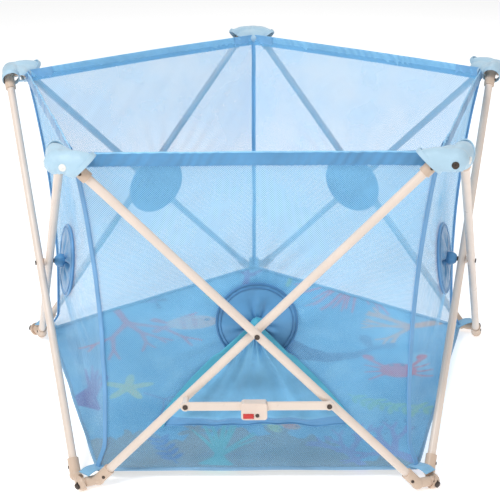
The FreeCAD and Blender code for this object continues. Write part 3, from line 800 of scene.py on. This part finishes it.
for k in range(SIDES):
    body = f"top_{CORNERS[k]}"
    net_wall = wall_mesh(k)
    band = hem(k)
    linings = facings(k)
    foot = bottom_piping(k)
    binding = corner_binding(k)
    patch, rims = disc(k)
    knot = tie(k)
    fan = gusset(k) if k == 0 else []
    for piece in [net_wall, band, *linings, foot, patch, *rims, knot, *fan]:
        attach(piece, body)
        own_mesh(piece)
    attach(binding, body)
    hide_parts(f"wall_{PANELS[k]}")


# ---------------------------------------------------------------- corner caps and straps

def sleeve_section(centre, axis, side, long_half, short_half, count=40):
    """Points of an oval across a sleeve, its long way upright."""
    upright = axis.cross(side).normalized()
    if upright.z < 0:
        upright = -upright
    return [centre + upright * (long_half * math.sin(a)) + side * (short_half * math.cos(a))
            for a in np.arange(count) * 2 * math.pi / count]


def cap_form():
    """One cap's cloth about the first top corner: a dome with a wide sleeve over each elbow."""
    hub = corner(0, TOP_Z)
    work = bmesh.new()

    def add_ball(centre, size, frame_of=None):
        ball = bmesh.ops.create_uvsphere(work, u_segments=28, v_segments=16, radius=1)
        matrix = Matrix.Translation(centre) @ (frame_of or basis) @ Matrix.Diagonal((*size, 1))
        bmesh.ops.transform(work, matrix=matrix, verts=ball["verts"])

    def add_loft(sections):
        rings = [[work.verts.new(p) for p in section] for section in sections]
        n = len(rings[0])
        for lower, upper in zip(rings, rings[1:]):
            for i in range(n):
                work.faces.new((lower[i], lower[(i + 1) % n], upper[(i + 1) % n], upper[i]))
        work.faces.new(rings[0][::-1])
        work.faces.new(rings[-1])

    out = radial(0)
    tangent = Vector((0, 0, 1)).cross(out)
    basis = Matrix((out, tangent, (0, 0, 1))).transposed().to_4x4()
    add_ball(hub + Vector((0, 0, 0.001)) - out * 0.002, (0.0235, 0.0245, 0.0225))
    add_ball(hub - out * 0.022 + Vector((0, 0, -0.001)), (0.027, 0.034, 0.0185))
    ends = []
    for way, aside in ((along(0), outward(0)), (-along(SIDES - 1), -outward(SIDES - 1))):
        down = way * math.cos(TUBE_LEAN) - Vector((0, 0, math.sin(TUBE_LEAN)))
        mouth = hub + way * 0.0485 + aside * TUBE_OFFSET * 0.7 - Vector((0, 0, 0.005))
        sections = []
        for t in np.linspace(0, 1.22, 12):
            ease = float(smooth_step(min(t, 1.0)))
            centre = hub.lerp(mouth, t) + Vector((0, 0, 0.003 * math.sin(math.pi * min(t, 1.0))))
            axis = (way * (1 - ease) + down * ease).normalized()
            sections.append(sleeve_section(centre, axis, aside.normalized(), 0.0215 + 0.0085 * ease,
                                           0.0205 - 0.0005 * ease))
        add_loft(sections)
        inner = -aside if way == along(0) else aside
        slope = Matrix((way, inner, (0, 0, 1))).transposed().to_4x4()
        add_ball(hub + way * 0.026 + inner * 0.014 + Vector((0, 0, 0.002)), (0.034, 0.022, 0.0155), slope)
        ends.append((mouth, down, aside.normalized()))
    bmesh.ops.recalc_face_normals(work, faces=work.faces[:])
    mesh = bpy.data.meshes.new("cap_form")
    work.to_mesh(mesh)
    work.free()
    form = bpy.data.objects.new("cap_form", mesh)
    bpy.context.collection.objects.link(form)
    voxel = form.modifiers.new("voxel", "REMESH")
    voxel.mode = "VOXEL"
    voxel.voxel_size = 0.0018
    ease = form.modifiers.new("ease", "SMOOTH")
    ease.factor = 0.6
    ease.iterations = 12
    apply_modifiers(form)
    return form, ends, hub


def open_cap(form, ends, hub):
    """Cuts the sleeves' mouths and the open underside."""
    work = bmesh.new()
    work.from_mesh(form.data)
    for spot, way, _ in ends:
        near = [f for f in work.faces if (f.calc_center_median() - spot).length < 0.052]
        geometry = list({v for f in near for v in f.verts} | {e for f in near for e in f.edges}) + near
        bmesh.ops.bisect_plane(work, geom=geometry, plane_co=spot, plane_no=way)
        gone = [f for f in work.faces if (f.calc_center_median() - spot).dot(way) > 0
                and (f.calc_center_median() - spot).length < 0.052]
        bmesh.ops.delete(work, geom=gone, context="FACES")
    floor = hub - Vector((0, 0, 0.0165))
    bmesh.ops.bisect_plane(work, geom=work.verts[:] + work.edges[:] + work.faces[:], plane_co=floor,
                           plane_no=(0, 0, 1))
    gone = [f for f in work.faces if f.calc_center_median().z < floor.z
            and (f.calc_center_median() - hub).xy.length < 0.027]
    bmesh.ops.delete(work, geom=gone, context="FACES")
    loose = [v for v in work.verts if not v.link_faces]
    bmesh.ops.delete(work, geom=loose, context="VERTS")
    work.to_mesh(form.data)
    work.free()
    return form


def cap(k, form):
    """Corner k's cap: the common form turned into place, with its own creases."""
    mesh = form.data.copy()
    mesh.name = f"corner_cap_{CORNERS[k]}"
    mesh.transform(Matrix.Rotation(k * TURN, 4, "Z"))
    count = len(mesh.vertices)
    co = np.zeros(count * 3)
    normal = np.zeros(count * 3)
    mesh.vertices.foreach_get("co", co)
    mesh.vertices.foreach_get("normal", normal)
    co, normal = co.reshape(-1, 3), normal.reshape(-1, 3)
    hub = np.array(corner(k, TOP_Z))
    local = co - hub
    under = smooth_step((0.004 - local[:, 2]) / 0.02)
    ripple = waves(np.arctan2(local[:, 1], local[:, 0]) * 1.9, local[:, 2] * 16, 190 + k, 2)
    fine = waves(local[:, 0] * 38 + local[:, 2] * 20, local[:, 1] * 38, 200 + k, 2)
    co = co + normal * ((0.0014 * under + 0.0003) * ripple + 0.00045 * fine)[:, None]
    mesh.vertices.foreach_set("co", co.ravel())
    turn = np.arctan2(local[:, 1], local[:, 0]) * 0.022
    corners = np.zeros(len(mesh.loops), np.int32)
    mesh.loops.foreach_get("vertex_index", corners)
    layer = mesh.uv_layers.new(name="weave")
    layer.data.foreach_set("uv", np.stack([turn, local[:, 2]], axis=-1)[corners].astype(np.float32).ravel())
    mesh.materials.clear()
    mesh.materials.append(CAP_CLOTH)
    mesh.polygons.foreach_set("use_smooth", [True] * len(mesh.polygons))
    mesh.update()
    piece = bpy.data.objects.new(mesh.name, mesh)
    bpy.context.collection.objects.link(piece)
    thick = piece.modifiers.new("thick", "SOLIDIFY")
    thick.thickness = 0.0014
    thick.offset = -1
    return apply_modifiers(piece)


def sleeve_band(spot, way, side, name):
    """Stitched band round the wide mouth of a cap's sleeve."""
    way, side = Vector(way), Vector(side)
    top = way.cross(side).normalized()
    turn = np.linspace(0, 2 * math.pi, 80, endpoint=False)[None, :]
    profile = np.linspace(0, 2 * math.pi, 16, endpoint=False)[:, None]
    lengthwise = np.sign(np.cos(profile)) * np.abs(np.cos(profile)) ** 0.5 * CAP_BAND_WIDTH / 2
    proud = np.sign(np.sin(profile)) * np.abs(np.sin(profile)) ** 0.7 * 0.0014
    groove = -0.0006 * (np.exp(-((lengthwise - 0.0030) / 0.0007) ** 2)
                        + np.exp(-((lengthwise + 0.0030) / 0.0007) ** 2))
    thick = proud + groove * (proud > 0) + 0.00025 * np.sin(37 * turn)
    centre = np.array(spot) - np.array(way) * CAP_BAND_WIDTH * 0.42
    points = (centre[None, None] + np.array(way) * lengthwise[..., None]
              + (MOUTH_SHORT + thick)[..., None] * np.array(side) * np.cos(turn)[..., None]
              + (MOUTH_LONG + thick)[..., None] * np.array(top) * np.sin(turn)[..., None])
    points = np.concatenate([points, points[:1]], axis=0)
    uv = grid_uv(turn * 0.024, np.linspace(0, 0.024, points.shape[0])[:, None])
    piece = surface(name, points, [CAP_CLOTH], uv, wrap=True)
    weld(piece)
    return piece


def lathe(name, spot, way, profile, material, segments=28):
    """A turned piece: profile is (radius, height) pairs, with height along way from spot."""
    way = Vector(way).normalized()
    turned = way.to_track_quat("Z", "Y").to_matrix()
    angle = np.arange(segments) * 2 * math.pi / segments
    rows = []
    for radius, height in profile:
        ring = [spot + turned @ Vector((radius * math.cos(a), radius * math.sin(a), height)) for a in angle]
        rows.append([list(p) for p in ring])
    points = np.array(rows)
    uv = grid_uv((angle * 0.005)[None, :], np.arange(len(profile))[:, None] * 0.001)
    return surface(name, points, [material], uv, wrap=True, cap_ends=True)


def arc_profile(radius, height, lip, steps=5):
    """Outline of a snap: a rounded rim with a shallow dish."""
    rim = [(radius - lip + lip * math.sin(a), height - lip + lip * math.cos(a))
           for a in np.linspace(math.pi / 2, 0, steps)]
    dish = [(radius * share, height - 0.0007 * math.sin(share * math.pi / 2)) for share in (0.55, 0.3)]
    nub = [(radius * 0.22, height + 0.0002), (radius * 0.06, height + 0.0005)]
    return [(radius, -0.002)] + rim + dish + nub


def snap_fasteners(k, piece):
    """Two snaps low on the cap's outward sides; the front right cap's second is a dark eyelet."""
    tree = BVHTree.FromObject(piece, bpy.context.evaluated_depsgraph_get())
    hub = corner(k, TOP_Z)
    made = []
    for i, (out, side) in enumerate(((outward(k), along(k)), (outward(k - 1), -along(k - 1)))):
        start = hub + out * 0.08 + side * (0.0130, 0.0050)[i] - Vector((0, 0, 0.0015))
        hit, normal, _, _ = tree.ray_cast(start, -out)
        if hit is None:
            continue
        eyelet = k == 1 and i == 1
        profile = arc_profile(0.0068, 0.0019, 0.0010)
        name = f"{'eyelet' if eyelet else 'snap'}_{CORNERS[k]}_{i + 1}"
        made.append(lathe(name, hit - normal * 0.0002, normal, profile, RIVET if eyelet else SNAP))
    return made


def strap(k):
    """Webbing tab from the fabric's bottom corner to the foot joint, with a slight arch."""
    out = radial(k)
    tangent = Vector((0, 0, 1)).cross(out)
    t = np.linspace(0, 1, 30)
    start_in = float(seam_inset(PIPING_Z)) + 0.012
    inset = start_in + (0.004 - start_in) * t
    start_z = PIPING_Z + 0.003
    end_z = float(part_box(f"foot_rivet_{PANELS[k]}")[1].z) + 0.0042
    end_z = max(end_z, 2 * FOOT_Z + 0.0024)
    z = start_z + (end_z - start_z) * smooth_step(t * 1.25) + 0.0022 * np.sin(math.pi * t)
    line = np.array([corner(k, h) - out * i for h, i in zip(z, inset)])
    across = np.tile(np.array(tangent), (len(t), 1))
    return ribbon(f"foot_strap_{CORNERS[k]}", line, across, STRAP_WIDTH * 0.9, 0.0018, WEB)


form, mouths, first_hub = cap_form()
open_cap(form, mouths, first_hub)
for k in range(SIDES):
    cover = cap(k, form)
    turned = Matrix.Rotation(k * TURN, 4, "Z")
    bands = [sleeve_band(turned @ spot, turned @ way, turned @ side, f"cap_band_{CORNERS[k]}_{i + 1}")
             for i, (spot, way, side) in enumerate(mouths)]
    snaps = snap_fasteners(k, cover)
    for piece in [cover, *bands, *snaps]:
        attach(piece, f"top_{CORNERS[k]}")
    tab = strap(k)
    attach(tab, f"foot_{CORNERS[k]}")
    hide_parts(f"corner_strap_{PANELS[k]}")
bpy.data.objects.remove(form)


# ---------------------------------------------------------------- floor and its print

WATER = (0.16, 0.46, 0.74)
WATER_DEEP = (0.055, 0.31, 0.58)
SAND = (0.27, 0.25, 0.22)
CORAL_RED = (0.62, 0.03, 0.07)
ORANGE = (0.72, 0.38, 0.20)
PURPLE = (0.19, 0.07, 0.36)
NAVY = (0.02, 0.05, 0.20)
GREEN = (0.24, 0.55, 0.34)
LIME = (0.50, 0.66, 0.30)
TURQUOISE = (0.08, 0.50, 0.48)
PEACH = (0.70, 0.50, 0.44)


class Ink:
    """The floor's printed colours, worked out at points x, y."""

    def __init__(self, x, y):
        self.x, self.y = x, y
        self.rgb = np.zeros((len(x), 3)) + np.array(WATER)

    def lay(self, mask, colour, strength=1.0):
        m = np.clip(mask, 0, 1)[:, None] * strength
        self.rgb = self.rgb * (1 - m) + np.array(colour) * m

    def edge(self, distance, soft=0.0022):
        """1 inside a shape, 0 outside it, from a signed distance."""
        return 1 - smooth_step((distance + soft) / (2 * soft))

    def stroke(self, points, width_start, width_end):
        """Signed distance to a tapering stroke through a few points."""
        best = np.full(len(self.x), 9.0)
        n = len(points) - 1
        for i in range(n):
            (ax, ay), (bx, by) = points[i], points[i + 1]
            dx, dy = bx - ax, by - ay
            t = np.clip(((self.x - ax) * dx + (self.y - ay) * dy) / (dx * dx + dy * dy + 1e-12), 0, 1)
            w = width_start + (width_end - width_start) * (i + t) / n
            d = np.hypot(self.x - ax - dx * t, self.y - ay - dy * t) - w / 2
            best = np.minimum(best, d)
        return best

    def oval(self, cx, cy, rx, ry, turn=0.0):
        c, s = math.cos(turn), math.sin(turn)
        dx, dy = self.x - cx, self.y - cy
        u, v = (dx * c + dy * s) / rx, (-dx * s + dy * c) / ry
        return (np.hypot(u, v) - 1) * min(rx, ry)

    def coral(self, x, y, size, turn, colour, seed, width=0.012, spread=0.75, levels=4):
        """A branching coral growing from x, y."""
        rng = np.random.default_rng(seed)
        best = np.full(len(self.x), 9.0)
        shoots = [(x, y, turn, size * 0.34, width)]
        for level in range(levels):
            following = []
            for (px, py, way, length, w) in shoots:
                qx, qy = px + length * math.cos(way), py + length * math.sin(way)
                best = np.minimum(best, self.stroke([(px, py), (qx, qy)], w, w * 0.75))
                count = 2 if level else 3
                for i in range(count):
                    fan = spread * (i - (count - 1) / 2) * (1.3 if level == 0 else 1.0)
                    following.append((qx, qy, way + fan + rng.uniform(-0.2, 0.2),
                                      length * rng.uniform(0.62, 0.86), w * 0.74))
            shoots = following
        self.lay(self.edge(best), colour)

    def fronds(self, x, y, size, turn, colour, seed, count=14, fan=2.2, width=0.006):
        """A fan of waving fronds from one root line."""
        rng = np.random.default_rng(seed)
        best = np.full(len(self.x), 9.0)
        for i in range(count):
            a = turn + fan * (i / (count - 1) - 0.5) + rng.uniform(-0.06, 0.06)
            length = size * rng.uniform(0.7, 1.0)
            root = (x + 0.30 * size * (i / (count - 1) - 0.5) * math.cos(turn - math.pi / 2),
                    y + 0.30 * size * (i / (count - 1) - 0.5) * math.sin(turn - math.pi / 2))
            bend = rng.uniform(-0.25, 0.25)
            line = [(root[0] + length * t * math.cos(a + bend * t), root[1] + length * t * math.sin(a + bend * t))
                    for t in (0, 0.35, 0.7, 1)]
            best = np.minimum(best, self.stroke(line, width * 1.5, width * 0.4))
        self.lay(self.edge(best), colour)

    def leafy(self, x, y, size, turn, colour, seed, leaf=0.016, pairs=6):
        """A stem with leaves in pairs."""
        rng = np.random.default_rng(seed)
        tip = (x + size * math.cos(turn), y + size * math.sin(turn))
        best = self.stroke([(x, y), tip], 0.005, 0.003)
        for i in range(pairs):
            t = 0.18 + 0.8 * i / pairs
            px, py = x + (tip[0] - x) * t, y + (tip[1] - y) * t
            for side in (-1, 1):
                a = turn + side * rng.uniform(0.7, 1.1)
                best = np.minimum(best, self.oval(px + leaf * math.cos(a), py + leaf * math.sin(a), leaf,
                                                  leaf * 0.42, a))
        self.lay(self.edge(best), colour)

    def fish(self, x, y, size, turn, body, fin, seed):
        """A plain fish, seen from the side."""
        c, s = math.cos(turn), math.sin(turn)

        def at(u, v):
            return x + (u * c - v * s) * size, y + (u * s + v * c) * size

        fins = self.stroke([at(-0.42, 0), at(-0.72, 0.24)], 0.05 * size, 0.18 * size)
        fins = np.minimum(fins, self.stroke([at(-0.42, 0), at(-0.72, -0.24)], 0.05 * size, 0.18 * size))
        fins = np.minimum(fins, self.stroke([at(-0.15, 0.2), at(0.12, 0.42)], 0.2 * size, 0.06 * size))
        self.lay(self.edge(fins), fin)
        self.lay(self.edge(self.oval(x, y, size * 0.5, size * 0.30, turn)), body)
        for shift in (-0.18, 0.04):
            self.lay(self.edge(self.oval(*at(shift, 0), size * 0.05, size * 0.26, turn)), fin, 0.6)
        eye = at(0.30, 0.07)
        self.lay(self.edge(self.oval(*eye, size * 0.055, size * 0.055)), NAVY)

    def whale(self, x, y, size, turn):
        """A plain whale with a speckled back."""
        c, s = math.cos(turn), math.sin(turn)

        def at(u, v):
            return x + (u * c - v * s) * size, y + (u * s + v * c) * size

        line = [at(-0.46, 0.16), at(-0.30, 0.02), at(-0.08, -0.06), at(0.16, -0.03), at(0.34, 0.10)]
        body = self.stroke(line, 0.30 * size, 0.045 * size)
        body = np.minimum(body, self.stroke([at(0.34, 0.10), at(0.30, 0.30)], 0.05 * size, 0.12 * size))
        body = np.minimum(body, self.stroke([at(0.34, 0.10), at(0.52, 0.16)], 0.05 * size, 0.12 * size))
        inside = self.edge(body)
        speck = np.sin(self.x * 620 + self.y * 240) * np.sin(self.y * 620 - self.x * 240)
        self.lay(inside, (0.12, 0.30, 0.56), 0.9)
        self.lay(inside * smooth_step((speck + 0.25) / 0.4), NAVY, 0.85)

    def starfish(self, x, y, size, turn, colour):
        r = np.hypot(self.x - x, self.y - y)
        a = np.arctan2(self.y - y, self.x - x) - turn
        arm = size * (0.34 + 0.19 * np.cos(5 * a) + 0.03 * np.cos(10 * a))
        self.lay(self.edge(r - arm), colour)
        spots = np.sin(self.x * 500) * np.sin(self.y * 500)
        self.lay(self.edge(r - arm * 0.7) * smooth_step((spots - 0.4) / 0.3), (0.75, 0.45, 0.30), 0.7)

    def crab(self, x, y, size, colour):
        body = self.oval(x, y, size * 0.30, size * 0.22)
        for side in (-1, 1):
            for reach, rise in ((0.52, 0.10), (0.54, -0.04), (0.50, -0.18)):
                leg = [(x + side * size * 0.2, y + rise * size * 0.5),
                       (x + side * size * reach, y + rise * size * 1.6)]
                body = np.minimum(body, self.stroke(leg, 0.06 * size, 0.03 * size))
            arm = [(x + side * size * 0.22, y + size * 0.12), (x + side * size * 0.42, y + size * 0.34)]
            body = np.minimum(body, self.stroke(arm, 0.07 * size, 0.06 * size))
            claw = self.oval(x + side * size * 0.44, y + size * 0.42, size * 0.11, size * 0.08, side * 0.8)
            body = np.minimum(body, claw)
        self.lay(self.edge(body), colour)
        for side in (-1, 1):
            self.lay(self.edge(self.oval(x + side * size * 0.09, y + size * 0.16, size * 0.035, size * 0.035)), NAVY)

    def shells(self, x, y, size, colour, seed, count=26):
        """A scatter of short dark marks."""
        rng = np.random.default_rng(seed)
        best = np.full(len(self.x), 9.0)
        for _ in range(count):
            cx, cy = x + rng.uniform(-0.5, 0.5) * size, y + rng.uniform(-0.22, 0.22) * size
            a = rng.uniform(0, math.pi)
            step = 0.008
            best = np.minimum(best, self.stroke([(cx, cy), (cx + step * math.cos(a), cy + step * math.sin(a))],
                                                0.0035, 0.002))
        self.lay(self.edge(best, 0.0014), colour, 0.8)


def floor_print(x, y):
    ink = Ink(x, y)
    depth = smooth_step((waves(x * 1.9 + 4, y * 1.9, 3, 3) + 0.15 + 0.35 * (y - 0.1)) / 0.9)
    ink.lay(depth, WATER_DEEP, 0.75)
    foam = waves(x * 5, y * 5, 5, 3)
    ink.lay(smooth_step((foam - 0.35) / 0.5), (0.36, 0.70, 0.90), 0.45)
    for bx, by, br in ((-0.24, 0.12, 0.013), (-0.20, 0.155, 0.008), (0.12, 0.30, 0.012), (0.03, 0.40, 0.009),
                       (-0.10, 0.02, 0.010), (0.02, 0.10, 0.012), (0.10, -0.10, 0.008)):
        ink.lay(ink.edge(np.abs(ink.oval(bx, by, br, br)) - 0.0018), (0.55, 0.82, 0.95), 0.7)
    # sand along the front, with a ragged upper edge and a few star-shaped marks
    ragged = (-0.300 + 0.030 * waves(x * 7, x * 0, 7, 3) + 0.016 * waves(x * 22, x * 0, 8, 2)
              - 0.10 * smooth_step((x - 0.10) / 0.12))
    ink.lay(ink.edge(y - ragged, 0.003), SAND, 0.95)
    for sx, sy, ss in ((-0.135, -0.275, 0.060), (0.045, -0.300, 0.070), (0.15, -0.335, 0.05), (-0.27, -0.30, 0.05)):
        r = np.hypot(x - sx, y - sy)
        a = np.arctan2(y - sy, x - sx)
        ink.lay(ink.edge(r - ss * (0.44 + 0.24 * np.cos(5 * a + sx * 40))), SAND, 0.95)
    ink.coral(-0.405, 0.330, 0.34, -0.95, CORAL_RED, 11, 0.024, 0.62)
    ink.fish(-0.165, 0.235, 0.135, 0.15, PEACH, CORAL_RED, 1)
    ink.whale(0.200, 0.060, 0.27, 0.0)
    ink.coral(-0.030, 0.420, 0.26, 1.45, PURPLE, 13, 0.020, 0.8)
    ink.coral(0.095, 0.445, 0.20, 1.3, GREEN, 14, 0.014, 0.8)
    ink.fronds(0.300, 0.480, 0.235, -1.75, (0.66, 0.06, 0.14), 15, 26, 2.4, 0.011)
    ink.coral(0.480, 0.200, 0.22, math.pi, ORANGE, 16, 0.022, 0.55)
    ink.crab(0.345, -0.020, 0.150, CORAL_RED)
    ink.starfish(-0.300, -0.095, 0.110, 0.3, LIME)
    ink.fronds(-0.390, -0.190, 0.20, 1.5, PURPLE, 17, 9, 0.7, 0.011)
    for i in range(4):
        ink.leafy(0.215 + 0.045 * i, -0.130 - 0.018 * i, 0.085, -0.75, GREEN, 20 + i, 0.015, 3)
    ink.shells(0.330, -0.265, 0.15, NAVY, 25)
    ink.shells(0.165, 0.445, 0.09, NAVY, 26, 18)
    ink.coral(0.330, -0.420, 0.20, 2.2, (0.27, 0.25, 0.58), 27, 0.024, 0.7)
    ink.coral(0.215, -0.420, 0.17, 1.9, (0.27, 0.25, 0.58), 28, 0.020, 0.7)
    ink.fronds(-0.085, -0.415, 0.19, 1.45, TURQUOISE, 29, 11, 1.1, 0.010)
    ink.leafy(-0.165, -0.410, 0.13, 2.0, (0.06, 0.14, 0.46), 31, 0.015, 5)
    ink.coral(-0.26, -0.12, 0.16, -0.5, (0.20, 0.22, 0.46), 32, 0.006, 0.7)
    ink.fish(0.075, -0.262, 0.045, -0.4, ORANGE, CORAL_RED, 2)
    ink.fish(0.040, -0.270, 0.040, -0.9, LIME, GREEN, 3)
    ink.fish(-0.30, 0.35, 0.07, 2.8, (0.20, 0.30, 0.60), NAVY, 4)
    ink.leafy(-0.07, 0.33, 0.10, 2.2, GREEN, 33, 0.014, 4)
    return ink.rgb


def floor_height(x, y, edge_gap):
    """Height of the floor's cloth: laid on the ground, rising to the walls' foot."""
    rise = FLOOR_RISE * (1 - smooth_step(edge_gap / FLOOR_RISE_WIDTH)) ** 1.4
    ripples = 0.0014 * (waves(x * 3.1, y * 3.1, 210, 2) + 0.9)
    return FLOOR_Z + rise + ripples * smooth_step(edge_gap / 0.05)


def floor_gore(k):
    rows, cols = 170, 171
    edge = APOTHEM - float(seam_inset(PIPING_Z)) * math.cos(TURN / 2)
    t = (np.linspace(0.0006, 1, rows) ** 0.92)[:, None]
    across = np.linspace(-1, 1, cols)[None, :]
    s = across * t * edge * math.tan(TURN / 2)
    o = t * edge + 0 * across
    flat = place(k, s, o, 0)
    x, y = flat[..., 0], flat[..., 1]
    z = floor_height(x, y, edge - o)
    piece = surface(f"floor_{PANELS[k]}", place(k, s, o, z), [PRINT], grid_uv(x, y))
    colours = np.ones((rows * cols, 4))
    colours[:, :3] = floor_print(x.ravel(), y.ravel())
    layer = piece.data.attributes.new("print", "FLOAT_COLOR", "POINT")
    layer.data.foreach_set("color", colours.astype(np.float32).ravel())
    return piece


for k in range(SIDES):
    gore = floor_gore(k)
    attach(gore, f"floor_gore_{PANELS[k]}")
    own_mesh(gore)
    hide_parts(f"floor_gore_{PANELS[k]}")


# ---------------------------------------------------------------- stage, light and camera

def make_stage():
    points = np.array([[(-30, -30, 0), (30, -30, 0)], [(-30, 30, 0), (30, 30, 0)]], float)
    m = Shader("stage_white", 0.9, Specular_IOR_Level=0.1)
    m.colour(m.ramp(m.noise(0.5), (0.92, 0.92, 0.92), (0.94, 0.94, 0.94)))
    m.shader.inputs["Emission Color"].default_value = (1, 1, 1, 1)
    m.shader.inputs["Emission Strength"].default_value = 0.48
    ground = surface("stage_floor", points, [m.material])


def area_light(name, spot, aim, size, power, colour=(1, 1, 1)):
    data = bpy.data.lights.new(name, "AREA")
    data.shape = "DISK"
    data.size = size
    data.energy = power
    data.color = colour
    lamp = bpy.data.objects.new(name, data)
    bpy.context.collection.objects.link(lamp)
    lamp.location = spot
    lamp.rotation_euler = (Vector(aim) - Vector(spot)).to_track_quat("-Z", "Y").to_euler()


def make_light():
    world = bpy.data.worlds.new("studio")
    bpy.context.scene.world = world
    world.use_nodes = True
    background = world.node_tree.nodes["Background"]
    background.inputs["Color"].default_value = (1.0, 1.0, 1.0, 1)
    background.inputs["Strength"].default_value = 0.42
    area_light("key", (-1.6, -1.9, 3.4), (0, 0, 0.3), 1.4, 85)
    area_light("fill", (2.6, -1.4, 2.2), (0, 0, 0.3), 2.4, 18)
    area_light("back", (0.5, 3.2, 3.0), (0, 0, 0.4), 2.6, 26)


def make_camera():
    data = bpy.data.cameras.new("camera")
    data.sensor_width = 36
    data.lens = 75.4
    camera = bpy.data.objects.new("camera", data)
    bpy.context.collection.objects.link(camera)
    pitch, yaw, roll = math.radians(23.4), math.radians(0.05), math.radians(-0.29)
    turned = (Matrix.Rotation(-yaw, 4, "Z") @ Matrix.Rotation(math.pi / 2 - pitch, 4, "X")
              @ Matrix.Rotation(roll, 4, "Z"))
    camera.matrix_world = Matrix.Translation((-0.014, -2.227, 1.278)) @ turned
    bpy.context.scene.camera = camera


make_stage()
make_light()
make_camera()
bpy.context.scene.view_settings.view_transform = "Standard"
